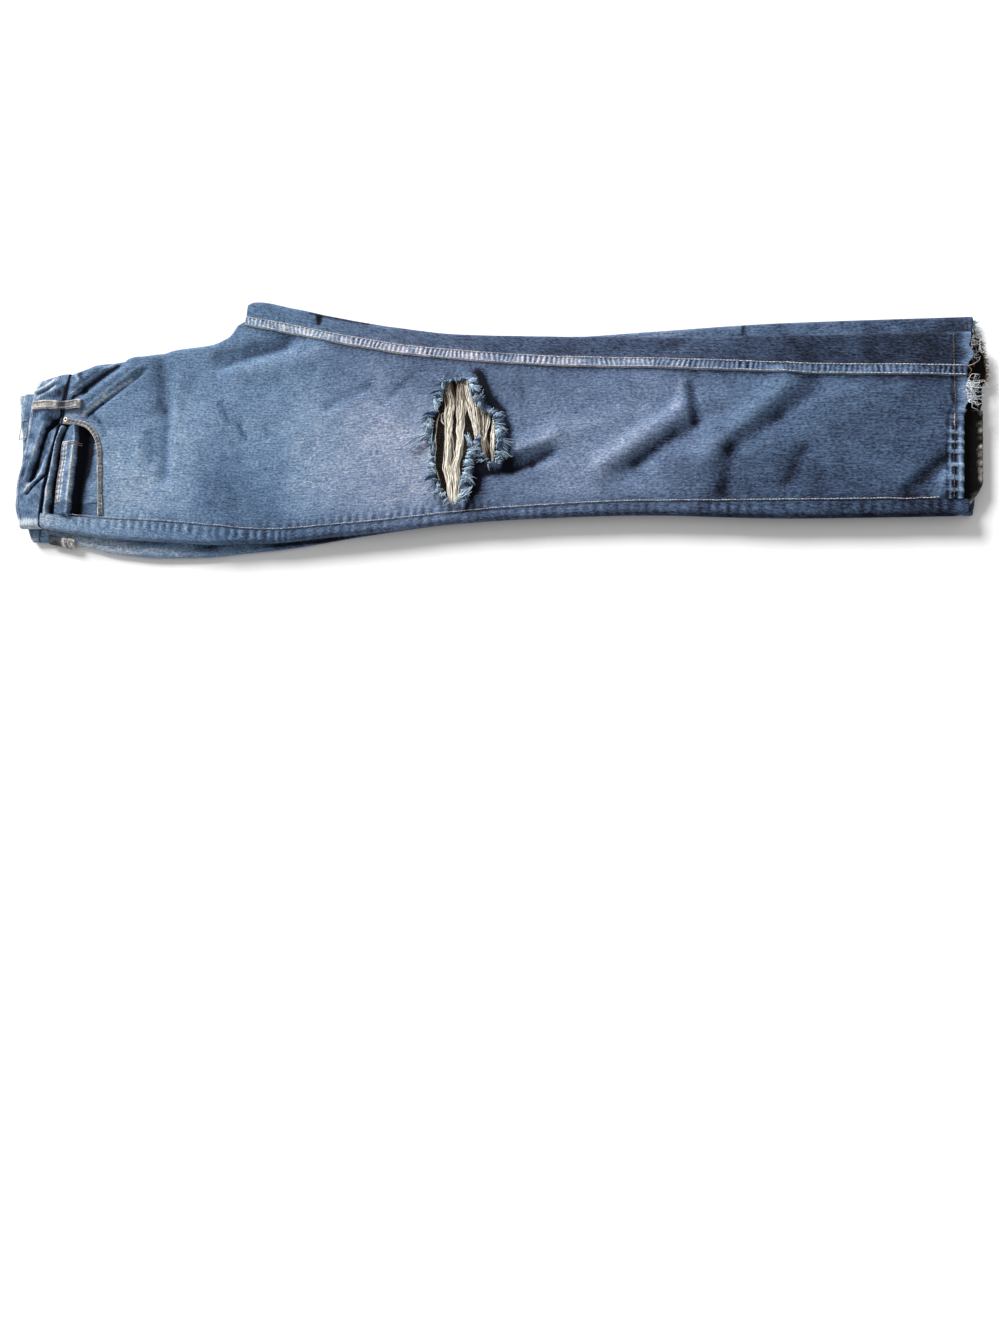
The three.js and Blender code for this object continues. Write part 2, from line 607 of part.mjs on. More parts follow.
// The right half of the waistband: the back's layer inside, round the fold at the side, and the
// front's on top as far as the centre front.
const bandGrid = (() => {
  const acrossBand = 5;
  const turnSteps = 6;
  const lowFold = rightHalf(WAIST_X, "lowFold");
  const foldCentre = lowFold + FOLD_RADIUS;
  const backEnd = 148;
  const frontEnd = 170;
  const under = spaced(backEnd, foldCentre, 9).map((y) => ({ y, turn: 0 }));
  const fold = Array.from({ length: turnSteps }, (_, k) => ({ turn: (Math.PI * k) / turnSteps }));
  const onTop = [...spaced(foldCentre, frontEnd, 16), frontEnd].map((y) => ({ y, turn: Math.PI }));
  return Array.from({ length: acrossBand + 1 }, (_, i) =>
    [...under, ...fold, ...onTop].map(({ y, turn }) => {
      const place = y ?? foldCentre - FOLD_RADIUS * Math.sin(turn);
      const front = (1 - Math.cos(turn)) / 2;
      const top = mix(waistLine(place, "backTop"), waistLine(place, "frontTop"), front);
      const seam = mix(waistLine(place, "backTop") + BAND_WIDTH, waistLine(place, "frontSeam"), front);
      const x = mix(top, seam - SEAM_GAP, i / acrossBand);
      const low = LEG_BOTTOM - SEAM_GAP / 2;
      return new THREE.Vector3(x, place, mix(low, topCloth(x, place) + DENIM / 2, front));
    }),
  );
})();

// The left half, hidden but for its edges

function leftSection(inset) {
  return (x) => ({
    low: leftHalf(x, "lowFold") + inset,
    top: leftHalf(x, "topFold") - inset,
    bottom: inset,
    height: UNDER_HEIGHT - 2 * inset,
    slide: (y) => clamp(1 - (x - WAIST_X) / 90, 0, 1) * (waistLine(y, "leftTop") + BAND_WIDTH - WAIST_X),
  });
}

const mouthInset = (UNDER_HEIGHT - UNDER_MOUTH) / 2;

// Both layers of the left leg and seat, parted at the hem.
function leftLayers() {
  const stations = [...spaced(WAIST_X, CROTCH_X, 12), ...spaced(CROTCH_X, LEFT_HEM_X, 26), LEFT_HEM_X];
  const mouth = stadium([LEFT_HEM_X - UNDER_MOUTH_DEPTH, LEFT_HEM_X + 1], leftSection(mouthInset));
  return cutAway(stadium(stations, leftSection(0)), mouth);
}

// Both layers of the left half of the waistband, parted at its top edge.
function leftBand() {
  const seamX = WAIST_X - SEAM_GAP;
  const moved = (inset, shift) => (x) => {
    const onSeam = leftSection(inset)(WAIST_X);
    return { ...onSeam, slide: (y) => onSeam.slide(y) + shift };
  };
  const band = stadium([seamX - BAND_WIDTH, seamX - BAND_WIDTH / 2, seamX], moved(0, 0));
  const mouth = stadium([seamX - BAND_WIDTH - 1, seamX - BAND_WIDTH / 3], moved(mouthInset, 0));
  return cutAway(band, mouth);
}

// Pocket

const facingGrid = (() => {
  const [columns, rows] = [9, 10];
  const yTo = 102;
  const mouthAt = [...POCKET_MOUTH].reverse();
  return Array.from({ length: rows + 1 }, (_, i) =>
    Array.from({ length: columns + 1 }, (_, j) => {
      const atSeam = mix(WAIST_X, POCKET_MOUTH.at(-1).x + MOUTH_REACH, i / rows);
      const y = mix(rightHalf(atSeam, "outseam") + 2 * SEAM_GAP, yTo, j / columns);
      const waist = waistLine(y, "frontSeam") + SEAM_GAP;
      const x = mix(waist, readTable(mouthAt, "y", "x", y) + MOUTH_REACH, i / rows);
      const sunk = 2.6 * DENIM;
      return new THREE.Vector3(x, y, topCloth(x, y) - sunk + pocketRise(x, y));
    }),
  );
})();

// The facing's own folds, which die out where the front covers it.
function pocketRise(x, y) {
  const mouth = readTable([...POCKET_MOUTH].reverse(), "y", "x", y);
  return foldRise(FACING_FOLDS, x, y) * smooth(mouth, mouth - 12, x);
}

// The coin pocket is sewn on the facing, so it is made from the facing's heights, moved out.
function coinPocket() {
  const { xFrom, xTo, yFrom, yTo } = COIN_POCKET;
  const steps = 7;
  const rows = Array.from({ length: steps + 1 }, (_, i) =>
    Array.from({ length: steps + 1 }, (_, j) => {
      const y = mix(yFrom, yTo, j / steps);
      const mouth = readTable([...POCKET_MOUTH].reverse(), "y", "x", y);
      const x = mix(xFrom, Math.min(xTo, mouth - 2), i / steps);
      return new THREE.Vector3(x, y, heightOn(facingGrid, x, y) + LAY_GAP + 2 * DENIM);
    }),
  );
  return wall(rows, DENIM);
}

// Fastenings and trim

// A belt loop lies along the leg over the waistband and is sewn down at both ends.
function beltLoop(from, to, y, heightAt) {
  const steps = 7;
  const stand = 1.2;
  const points = Array.from({ length: steps + 1 }, (_, k) => {
    const x = mix(from, to, k / steps);
    const reach = [-1, 0, 1].flatMap((a) => [-1, 0, 1].map((b) => heightAt(x + 4 * a, y + (LOOP_WIDTH / 2) * b)));
    const arch = stand * Math.sin((Math.PI * k) / steps);
    return new THREE.Vector3(x, y, Math.max(...reach) + LAY_GAP + arch);
  });
  return strip(points, points.map(() => LOOP_WIDTH), LOOP_CLOTH);
}

// The left half's belt loop at the side, which lies round the fold of that half.
function sideLoop() {
  const [from, to, steps] = [40, 82, 6];
  const turns = [-0.15, 0.05, 0.25, 0.4];
  const radius = UNDER_HEIGHT / 2;
  const rows = Array.from({ length: steps + 1 }, (_, i) => {
    const x = mix(from, to, i / steps);
    const stand = radius + LAY_GAP + LOOP_CLOTH + Math.sin((Math.PI * i) / steps);
    const centre = leftHalf(x, "lowFold") + radius;
    return turns.map((turn) => {
      const angle = Math.PI * turn;
      return new THREE.Vector3(x, centre - stand * Math.cos(angle), radius + stand * Math.sin(angle));
    });
  });
  return wall(rows, LOOP_CLOTH);
}

// A riveted pocket end: a turned cap with a nipple in its middle.
function rivetCap() {
  const profile = [
    new THREE.Vector2(0, 0),
    new THREE.Vector2(RIVET_RADIUS, 0),
    new THREE.Vector2(RIVET_RADIUS, RIVET_HEIGHT * 0.4),
    new THREE.Vector2(RIVET_RADIUS * 0.75, RIVET_HEIGHT * 0.75),
    new THREE.Vector2(RIVET_RADIUS * 0.45, RIVET_HEIGHT * 0.6),
    new THREE.Vector2(RIVET_RADIUS * 0.3, RIVET_HEIGHT),
    new THREE.Vector2(0, RIVET_HEIGHT),
  ];
  return new THREE.LatheGeometry(profile, 12).rotateX(Math.PI / 2);
}

const topOfStack = (x, y) => Math.max(heightOn(frontGrid, x, y), heightOn(bandGrid, x, y));

// Weft and fray

// Bundles of weft in a hole, held at both ends by strips that lie under the front.
function weft(yarns) {
  const below = DENIM + 2 * LAY_GAP;
  const at = (x, y) => new THREE.Vector3(x, y, heightOn(frontGrid, x, y) - below - DENIM);
  const bundle = ({ x0, y0, x1, y1, bow, width }) => {
    const steps = 8;
    const points = Array.from({ length: steps + 1 }, (_, k) => {
      const t = k / steps;
      return at(mix(x0, x1, t) + bow * Math.sin(Math.PI * t), mix(y0, y1, t));
    });
    return strip(points, points.map(() => width), DENIM);
  };
  const holder = (x, y) => {
    const ends = yarns.map((yarn) => at(yarn[x], yarn[y]));
    const first = ends[0].clone().lerp(ends[1], -0.3);
    const last = ends.at(-1).clone().lerp(ends.at(-2), -0.3);
    return strip([first, ...ends, last], Array(ends.length + 2).fill(4), DENIM * 0.8);
  };
  return joined([holder("x0", "y0"), holder("x1", "y1"), ...yarns.map(bundle)]);
}

// Strands that taper from a narrow strip of loose cloth: roots gives the strip's points, and lie the
// way that the k-th strand points.
function fringe(roots, lie, long, thickness) {
  const strands = roots.slice(1, -1).map((root, k) => {
    const way = lie(k).multiplyScalar(long * (1 + 0.35 * uneven(k, 1)));
    const inRoot = root.clone().addScaledVector(way, -0.02);
    return strip([inRoot, root.clone().add(way)], [STRAND, STRAND_TIP], thickness * 0.7);
  });
  return joined([strip(roots, roots.map(() => FRAY_ROOT), thickness), ...strands]);
}

// The edge that a hem's fray grows on, and the height of its roots.
function hemEdge(piece, y) {
  const away = SEAM_GAP + FRAY_ROOT / 2;
  if (piece === "left") {
    return new THREE.Vector3(LEFT_HEM_X + away, y, UNDER_HEIGHT - 2);
  }
  if (piece === "back") {
    return new THREE.Vector3(BACK_HEM_X + away, y, LEG_BOTTOM + 0.2);
  }
  const grid = piece === "front" ? frontGrid : backGrid;
  return new THREE.Vector3(FRONT_HEM_X + away, y, heightOn(grid, FRONT_HEM_X - 0.01, y) - DENIM + 0.1);
}

function hemFray({ piece, from, to, count, long }) {
  const roots = Array.from({ length: count + 2 }, (_, k) => hemEdge(piece, mix(from, to, k / (count + 1))));
  const droop = piece === "back" ? -0.06 : 0.03;
  const lie = (k) => new THREE.Vector3(1, 0.35 * uneven(k, 3), droop + 0.04 * uneven(k, 4));
  return fringe(roots, lie, long, DENIM * 0.8);
}

// Tufts along an edge of the rip, which stand up and lie back over the front.
function ripFray({ rows, edge, from, to, count, long }) {
  const side = edge === "left" ? -1 : 1;
  const table = [...rows].reverse();
  const into = -side * (SEAM_GAP + FRAY_ROOT / 2);
  const roots = Array.from({ length: count + 2 }, (_, k) => {
    const y = mix(from, to, k / (count + 1));
    const x = straightRead(table, edge, y) + into;
    return new THREE.Vector3(x, y, heightOn(frontGrid, x, y) + LAY_GAP);
  });
  const lie = (k) => new THREE.Vector3(side, 0.4 * uneven(k, 5), 0.45 + 0.2 * uneven(k, 6));
  return fringe(roots, lie, long, DENIM * 0.8);
}

// Reads a hole's edge as it is cut, straight from section to section.
function straightRead(rows, column, y) {
  const k = clamp(rows.findIndex((row) => row.y >= y), 1, rows.length - 1);
  const t = (y - rows[k - 1].y) / (rows[k].y - rows[k - 1].y);
  return mix(rows[k - 1][column], rows[k][column], t);
}

// Materials

const cloth = (color, roughness = 0.95) => new THREE.MeshStandardMaterial({ color, roughness, metalness: 0 });
const DENIM_BLUE = cloth(0x5b7396);
const SHADED_DENIM = cloth(0x3f5572);
const WORN_DENIM = cloth(0x7f95b5);
const BARE_WEFT = cloth(0xe3dac6);
const FRAYED_DENIM = cloth(0xa9bccb);
const RIVET_METAL = new THREE.MeshStandardMaterial({ color: 0xb9a99a, roughness: 0.4, metalness: 1 });

// The jeans

const jeans = new THREE.Group();

function addPiece(name, geometry, material, place) {
  const mesh = new THREE.Mesh(geometry, material);
  mesh.name = name;
  if (place) mesh.position.copy(place);
  jeans.add(mesh);
}

addPiece("right_front", rightFront(), DENIM_BLUE);
addPiece("right_front_rise_edge", frontRiseEdge(), DENIM_BLUE);
addPiece("right_back", backBlock(WAIST_X, BACK_HEM_X, FLAT_COLUMNS), DENIM_BLUE);
addPiece("right_back_top_edge", backBlock(CROTCH_X, BACK_HEM_X, TOP_EDGE_COLUMNS), DENIM_BLUE);
for (const { name, from, to } of LOW_EDGES) addPiece(name, backBlock(from, to, LOW_EDGE_COLUMNS), DENIM_BLUE);
addPiece("right_inseam_fell", inseamFell(), WORN_DENIM);
addPiece("waistband_right", wall(bandGrid, BAND_CLOTH), SHADED_DENIM);
addPiece("left_layers", leftLayers(), SHADED_DENIM);
addPiece("waistband_left", leftBand(), SHADED_DENIM);
addPiece("pocket_facing", wall(facingGrid, DENIM), SHADED_DENIM);
addPiece("coin_pocket", coinPocket(), DENIM_BLUE);

addPiece("belt_loop_front", beltLoop(10, 80, 129, topOfStack), WORN_DENIM);
addPiece("belt_loop_left", sideLoop(), WORN_DENIM);

const rivetPlaces = [
  { name: "rivet_front", x: 58, y: 110.5 },
];
for (const { name, x, y } of rivetPlaces) {
  const around = [-1, 0, 1].flatMap((a) => [-1, 0, 1].map((b) => heightOn(frontGrid, x + 4 * a, y + 4 * b)));
  addPiece(name, rivetCap(), RIVET_METAL, new THREE.Vector3(x, y, Math.max(...around) + LAY_GAP));
}

addPiece("rip_weft_main", weft(MAIN_YARNS), BARE_WEFT);
addPiece("rip_weft_side", weft(SIDE_YARNS), BARE_WEFT);
for (const fray of HEM_FRAYS) addPiece(fray.name, hemFray(fray), FRAYED_DENIM);
for (const fray of RIP_FRAYS) addPiece(fray.name, ripFray(fray), FRAYED_DENIM);

// The part's origin is the middle of its footprint, on the surface.
const footprint = new THREE.Box3().setFromObject(jeans);
const middle = footprint.getCenter(new THREE.Vector3());
jeans.children.forEach((mesh) => mesh.position.sub(new THREE.Vector3(middle.x, middle.y, 0)));

export default jeans;
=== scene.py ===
"""Ripped jeans, folded in half and laid flat, right leg uppermost: the dressed model."""

import math

import bmesh
import bpy
import numpy as np
from mathutils import Matrix, Vector


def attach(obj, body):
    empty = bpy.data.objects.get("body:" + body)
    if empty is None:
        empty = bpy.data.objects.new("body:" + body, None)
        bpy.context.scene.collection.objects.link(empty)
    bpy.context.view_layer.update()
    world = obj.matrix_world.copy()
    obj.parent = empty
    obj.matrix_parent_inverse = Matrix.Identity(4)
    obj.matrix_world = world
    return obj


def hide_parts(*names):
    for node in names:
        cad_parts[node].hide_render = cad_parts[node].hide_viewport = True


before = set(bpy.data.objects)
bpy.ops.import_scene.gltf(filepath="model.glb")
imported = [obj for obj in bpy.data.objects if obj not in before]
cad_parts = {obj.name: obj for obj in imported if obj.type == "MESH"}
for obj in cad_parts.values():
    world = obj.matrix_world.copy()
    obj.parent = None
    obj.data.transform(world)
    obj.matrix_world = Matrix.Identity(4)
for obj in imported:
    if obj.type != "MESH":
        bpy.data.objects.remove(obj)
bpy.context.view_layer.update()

# THE RIGHT FRONT
# The panel that shows most: mid-blue twill, faded pale over the thigh and knee and darker below, with
# soft diagonal folds on the shin, a torn knee, a scooped pocket mouth and a roped hem.

# Millimetres down the leg from the waist edge, and across it from a line near the outseam. The row's
# origin is this far from there.
ORIGIN = np.array([549.4075, 97.9945, 0.0])

# Sections down the right half: its low fold, its two seams and its top fold.
RIGHT_HALF = {
    "x": [25, 80, 130, 190, 240, 262, 276, 284, 293, 340, 400, 470, 555, 650, 760, 920, 1090],
    "low": [-23, -31, -37, -40, -43, -44, -44, -44, -43, -42, -36, -29, -20, -14, -11, -15, -13],
    "outseam": [-5, -10, -14, -17, -21, -23, -24, -25, -26, -28, -24, -18, -9, -2, 2, 2, 3],
    "inseam": [170, 183, 190, 199, 204, 213, 224, 228, 226, 216, 201, 187, 174, 165, 157, 146, 136],
    "top": [150, 162, 171, 182, 188, 199, 216, 251, 254, 244, 229, 214, 201, 195, 189, 184, 180],
}
# Lines along the waist, at places across the leg: the top edges of the band's front, back and left half,
# and the seam under its front.
WAIST_LINES = {
    "y": [-45, -23, 20, 60, 100, 150, 175],
    "front_top": [16, 8, -1, 5, 7, 9, 17],
    "front_seam": [34, 34, 36, 40, 45, 52, 56],
    "back_top": [12, 4, -4, -5, -10, -20, -22],
    "left_top": [22, 12, 0, -3, -7, -15, -17],
}
# The leg is a flattened tube over the left half, a little higher between its folds.
LEG_BOTTOM = 9.0
LEG_HEIGHT = 10.0
CROWN = 2.5
FRONT_CURL = 9.0
WAIST_X = 36.0
CROTCH_X = 284.0
FRONT_HEM_X = 1085.0
TURN_UP = 22.0
HEM_ROUND = 1.3
SEAM_GAP = 0.15
SLIDE_REACH = 90.0
FLAT_SHARE = 0.92
# Across the leg, where the whole hem gives way to the torn one, and where the torn one is longer.
HEM_TORN = (88, 100)
HEM_LONGER = (144, 152)
TORN_LONGER = 5.0
HEM_DRAWN_FROM = 985.0
# Down the leg, the two pale rails of the roped hem.
HEM_RAILS = (1072.5, 1082.0)

# Each fold is a line from (x0, y0) to (x1, y1), half its width, and its rise or depth.
FOLDS = [
    (62, 136, 78, 148, 3, -2.2),
    (76, 147, 124, 181, 5, -4.2),
    (74, 130, 140, 178, 8, 4),
    (84, 114, 158, 172, 4, -1.6),
    (44, 118, 22, 40, 8, -4),
    (30, 122, 8, 34, 9, 3),
    (176, 186, 181, 125, 14, -3),
    (184, 116, 196, 36, 12, -3),
    (288, 100, 294, 56, 11, -1.8),
    (256, 177, 340, 198, 11, -5),
    (285, 168, 385, 186, 16, 2.5),
    (616, 40, 662, 58, 9, -3.5),
    (608, 62, 668, 82, 12, 2.5),
    (721, 44, 812, 107, 14, 5.2),
    (722, 18, 762, 50, 14, -1.7),
    (758, 47, 816, 90, 12, -2.8),
    (816, 92, 808, 132, 10, -3),
    (824, 50, 908, 128, 15, 4),
    (844, 14, 849, 48, 11, -2.4),
    (850, 60, 892, 89, 11, -2.5),
    (902, 96, 934, 126, 13, -2.5),
    (908, 22, 928, 60, 10, -2.2),
    (1030, 8, 1072, 48, 10, -3),
    (778, 176, 800, 184, 12, -2),
]
# Creases too fine for the solids, given in the same way.
FINE_FOLDS = [
    (66, 147, 116, 183, 3.5, -2.5),
    (64, 156, 104, 186, 4, 1.8),
    (80, 121, 150, 175, 3, 1.6),
    (86, 116, 150, 166, 2.5, -1.0),
    (176, 184, 183, 132, 6, -1.3),
    (183, 132, 196, 98, 6, -1.5),
    (196, 98, 195, 40, 6, -1.4),
    (204, 174, 207, 100, 6, 1.3),
    (171, 90, 178, 58, 6, -1.2),
    (158, 84, 163, 40, 6, 1.0),
    (262, 125, 275, 101, 3.5, -1.6),
    (288, 98, 298, 80, 3.5, -1.6),
    (323, 98, 325, 82, 3.5, -0.9),
    (272, 74, 275, 56, 4, -0.8),
    (254, 34, 258, 22, 6, -0.8),
    (398, 117, 444, 141, 7, -1.2),
    (464, 120, 490, 146, 5, -0.9),
    (396, 106, 446, 130, 7, 0.7),
    (660, 70, 742, 100, 8, 0.8),
    (744, 138, 758, 111, 5, -0.9),
    (330, 150, 352, 118, 6, -0.5),
    (420, 150, 470, 128, 9, -0.6),
    (250, 186, 300, 196, 6, -1.2),
    (616, 38, 655, 58, 5, -2.2),
    (612, 54, 660, 74, 6, 1.4),
    (622, 150, 628, 112, 4, -0.7),
    (636, 146, 644, 118, 4, -0.6),
    (668, 132, 682, 112, 5, -0.5),
    (809, 130, 816, 92, 5, -1.1),
    (800, 132, 805, 108, 4, 1.2),
    (736, 36, 796, 79, 6, -1.0),
    (814, 146, 822, 130, 4, -0.9),
    (842, 40, 862, 72, 6, -0.6),
    (846, 142, 860, 116, 5, -0.9),
    (900, 92, 940, 122, 7, -0.8),
    (1030, 14, 1066, 44, 5, -1.6),
    (960, 20, 1000, 60, 8, -0.6),
    (376, 222, 384, 232, 5, -1.2),
    (776, 170, 800, 182, 5, -1.0),
]


def curve(table, column, at, key="x"):
    """One column of a table of sections, along a smooth curve that never overshoots its rows."""
    x = np.array(table[key], float)
    y = np.array(table[column], float)
    at = np.clip(np.asarray(at, float), x[0], x[-1])
    step = np.diff(x)
    slope = np.diff(y) / step
    product = slope[1:] * slope[:-1]
    both = np.where(product > 0, slope[1:] + slope[:-1], 1.0)
    inner = np.where(product > 0, 2 * product / both, 0.0)
    tangent = np.concatenate([slope[:1], inner, slope[-1:]])
    k = np.clip(np.searchsorted(x, at, "right") - 1, 0, len(x) - 2)
    t = (at - x[k]) / step[k]
    ends = y[k] * (1 - 3 * t**2 + 2 * t**3) + y[k + 1] * (3 * t**2 - 2 * t**3)
    bends = tangent[k] * (t - 2 * t**2 + t**3) + tangent[k + 1] * (t**3 - t**2)
    return ends + step[k] * bends


def smooth(start, end, v):
    t = np.clip((np.asarray(v, float) - start) / (end - start), 0, 1)
    return t * t * (3 - 2 * t)


def ridge(v, middle, half):
    """A soft ridge: 1 along its middle, and nearly 0 at twice its half width."""
    return np.exp(-(((v - middle) / half) ** 2))


def ripple(x, y, size, seed):
    """Soft uneven bumps of about that size, from -1 to 1, the same on each run."""
    cells = np.random.default_rng(seed).uniform(-1, 1, (64, 64))
    u, v = np.asarray(x, float) / size, np.asarray(y, float) / size
    i, j = np.floor(u).astype(int), np.floor(v).astype(int)
    a, b = u - i, v - j
    a, b = a**3 * (10 - 15 * a + 6 * a * a), b**3 * (10 - 15 * b + 6 * b * b)
    near = cells[i % 64, j % 64] * (1 - a) + cells[(i + 1) % 64, j % 64] * a
    far = cells[i % 64, (j + 1) % 64] * (1 - a) + cells[(i + 1) % 64, (j + 1) % 64] * a
    return near * (1 - b) + far * b


def fold_rise(folds, x, y):
    """Height that a list of folds adds at each place."""
    total = np.zeros(np.broadcast(x, y).shape)
    for x0, y0, x1, y1, half, rise in folds:
        dx, dy = x1 - x0, y1 - y0
        t = np.clip(((x - x0) * dx + (y - y0) * dy) / (dx * dx + dy * dy), 0, 1)
        off = np.hypot(x - x0 - t * dx, y - y0 - t * dy)
        total += rise * ridge(off, 0, half)
    return total


def top_form(x, y):
    """Height of the uppermost cloth's main form."""
    low = curve(RIGHT_HALF, "low", x)
    top = np.maximum(curve(RIGHT_HALF, "top", x), curve(RIGHT_HALF, "inseam", x))
    across = np.clip((2 * y - low - top) / (top - low), -1, 1)
    return LEG_BOTTOM + LEG_HEIGHT + CROWN * (1 - across**2) + fold_rise(FOLDS, x, y)


def relief(x, y):
    """The uppermost cloth's small creases and unevenness."""
    uneven = 0.7 * ripple(x, y, 47, 1) + 0.4 * ripple(x, y, 21, 2) + 0.16 * ripple(x, y, 8, 3)
    return uneven + fold_rise(FINE_FOLDS, x, y)


def top_cloth(x, y):
    return top_form(x, y) + relief(x, y)


def pucker(x, pitch, seed):
    """An uneven wave along a seam, where the sewing has drawn the cloth up."""
    drift = 1.1 * ripple(x, 0 * x, 37, seed) + 0.5 * ripple(x, 0 * x, 13, seed + 1)
    return np.sin(2 * np.pi * x / pitch + 2.2 * drift) * (0.75 + 0.35 * ripple(x, 0 * x, 29, seed + 2))


def slide(station, seam):
    """How far a row is slid so that it starts on the waistband's seam."""
    return np.clip(1 - (station - WAIST_X) / SLIDE_REACH, 0, 1) * (seam - WAIST_X)


# How far the dye has gone at each section, from 0, dark indigo, to 1, nearly white: round the low fold,
# near the outseam, down the middle, near the inseam, and on the strip of the back beyond it. FADE_AT is
# where each of these lies, from the outseam, 0, to the inseam, 1.
FADE = {
    "x": [30, 60, 110, 160, 215, 270, 330, 390, 450, 505, 620, 680, 740, 800, 860, 920, 980, 1040, 1085],
    "low": [
        0.3, 0.3, 0.5, 0.68, 0.6, 0.28, 0.39, 0.56, 0.56, 0.6,
        0.36, 0.5, 0.42, 0.32, 0.19, 0.17, 0.19, 0.23, 0.17,
    ],
    "mid": [
        0.36, 0.4, 0.53, 0.57, 0.61, 0.49, 0.5, 0.57, 0.61, 0.69,
        0.42, 0.45, 0.44, 0.36, 0.29, 0.26, 0.2, 0.19, 0.17,
    ],
    "high": [
        0.34, 0.36, 0.42, 0.36, 0.43, 0.42, 0.43, 0.41, 0.4, 0.31,
        0.36, 0.39, 0.41, 0.4, 0.37, 0.31, 0.27, 0.18, 0.2,
    ],
    "strip": [
        0.4, 0.4, 0.4, 0.4, 0.4, 0.38, 0.38, 0.35, 0.34, 0.27,
        0.23, 0.22, 0.2, 0.18, 0.13, 0.12, 0.13, 0.1, 0.13,
    ],
    "edge": [
        0.7, 0.62, 0.58, 0.54, 0.4, 0.36, 0.28, 0.24, 0.3, 0.32,
        0.3, 0.3, 0.28, 0.26, 0.22, 0.2, 0.18, 0.17, 0.17,
    ],
}
FADE_AT = {"edge": -0.06, "low": 0.14, "mid": 0.48, "high": 0.86, "strip": 1.06}
# Lines of painted shade in creases, painted shadows cast beside the rip's raised edges and along the
# thigh's top edge, and pale lines along worn ridges, partly painted highlight, given as folds are.
SHADE_AND_WEAR_LINES = [
    (62, 140, 75, 150, 1.5, -0.6),
    (75, 151, 117, 180, 2.0, -0.75),
    (58, 145, 72, 156, 1.5, 0.34),
    (72, 156, 110, 183, 1.6, 0.3),
    (80, 117, 108, 139, 1.8, 0.5),
    (108, 139, 140, 160, 1.9, 0.4),
    (86, 117, 104, 131, 1.6, -0.32),
    (104, 131, 132, 151, 1.6, -0.2),
    (56, 117, 78, 116, 5.5, 0.22),
    (55, 172, 51, 117, 1.5, -0.8),
    (51, 117, 48, 97, 1.5, -0.8),
    (60, 172, 68, 162, 1.6, 0.3),
    (66, 175, 72, 163, 3.0, -0.3),
    (92, 118, 103, 107, 2.6, -0.25),
    (103, 107, 114, 90, 2.0, -0.15),
    (176, 176, 186, 122, 9, -0.14),
    (188, 120, 196, 36, 6, -0.13),
    (172, 92, 178, 56, 7, -0.1),
    (112, 104, 160, 106, 6, -0.07),
    (214, 172, 220, 148, 10, 0.02),
    (263, 124, 274, 103, 3.0, -0.16),
    (289, 97, 297, 82, 3.0, -0.16),
    (323, 97, 325, 84, 2.5, -0.1),
    (262, 178, 335, 196, 6, -0.2),
    (262, 196, 320, 208, 8, 0.06),
    (286, 168, 380, 187, 9, 0.06),
    (400, 118, 442, 140, 7, -0.08),
    (466, 121, 488, 143, 4, -0.08),
    (619, 40, 641, 46, 5, -0.28),
    (641, 46, 662, 59, 4.5, -0.26),
    (606, 56, 664, 78, 6, 0.09),
    (625, 148, 628, 112, 3.5, -0.08),
    (745, 136, 757, 113, 4, -0.07),
    (580, 20, 590, 58, 6, -0.5),
    (580, 140, 596, 116, 5, -0.35),
    (614, 46, 624, 54, 5, -0.25),
    (724, 22, 752, 45, 10, -0.08),
    (750, 43, 814, 88, 7, -0.15),
    (752, 46, 795, 78, 4, -0.1),
    (815, 90, 809, 130, 5, -0.2),
    (712, 46, 796, 106, 7, 0.08),
    (794, 106, 800, 136, 5, 0.16),
    (845, 14, 852, 58, 8, -0.16),
    (848, 60, 900, 95, 6, -0.11),
    (900, 95, 930, 122, 9, -0.1),
    (910, 24, 926, 58, 6, -0.1),
    (824, 54, 906, 126, 7, 0.06),
    (1032, 8, 1070, 46, 6, -0.12),
    (1060, 8, 1068, 30, 4, 0.2),
    (377, 230, 378, 222, 3.0, -0.5),
    (366, 234.5, 400, 226.5, 1.6, -0.35),
    (400, 226.5, 440, 217.5, 1.5, -0.3),
]


def fade_and_shade(x, y):
    """The dye's fade on the uppermost cloth, with the painted shade and light of its folds and lines."""
    outseam, inseam = curve(RIGHT_HALF, "outseam", x), curve(RIGHT_HALF, "inseam", x)
    across = (y - outseam) / (inseam - outseam)
    sides = [curve(FADE, column, x) for column in FADE_AT]
    at = list(FADE_AT.values())
    tone = sides[0] + 0 * across
    for k in range(len(at) - 1):
        tone = tone + smooth(at[k], at[k + 1], across) * (sides[k + 1] - sides[k])
    tone = tone + 0.045 * ripple(x, y, 42, 11) + 0.035 * ripple(x, y, 15, 12)
    # Painted shade and light: the folds' tops are made lighter and their troughs darker.
    tone = tone + 0.012 * np.clip(fold_rise(FOLDS, x, y), -4, 4) + 0.03 * fold_rise(FINE_FOLDS, x, y)
    return tone + fold_rise(SHADE_AND_WEAR_LINES, x, y)


def mark(mesh, name, values):
    """A value at each point of a mesh, for its material to read."""
    mesh.attributes.new(name, "FLOAT", "POINT").data.foreach_set("value", values)


def laid_flat(points, order, steps, lanes):
    """Where each point of a grid would be on the flat cloth, in millimetres."""
    rows = points[order].reshape(steps + 1, lanes + 1, 3)
    weave = np.zeros((steps + 1, lanes + 1, 2))
    weave[1:, :, 0] = np.cumsum(np.linalg.norm(np.diff(rows, axis=0), axis=2), axis=0)
    weave[:, 1:, 1] = np.cumsum(np.linalg.norm(np.diff(rows, axis=1), axis=2), axis=1)
    laid = np.empty((len(points), 2))
    laid[order] = weave.reshape(-1, 2)
    return laid


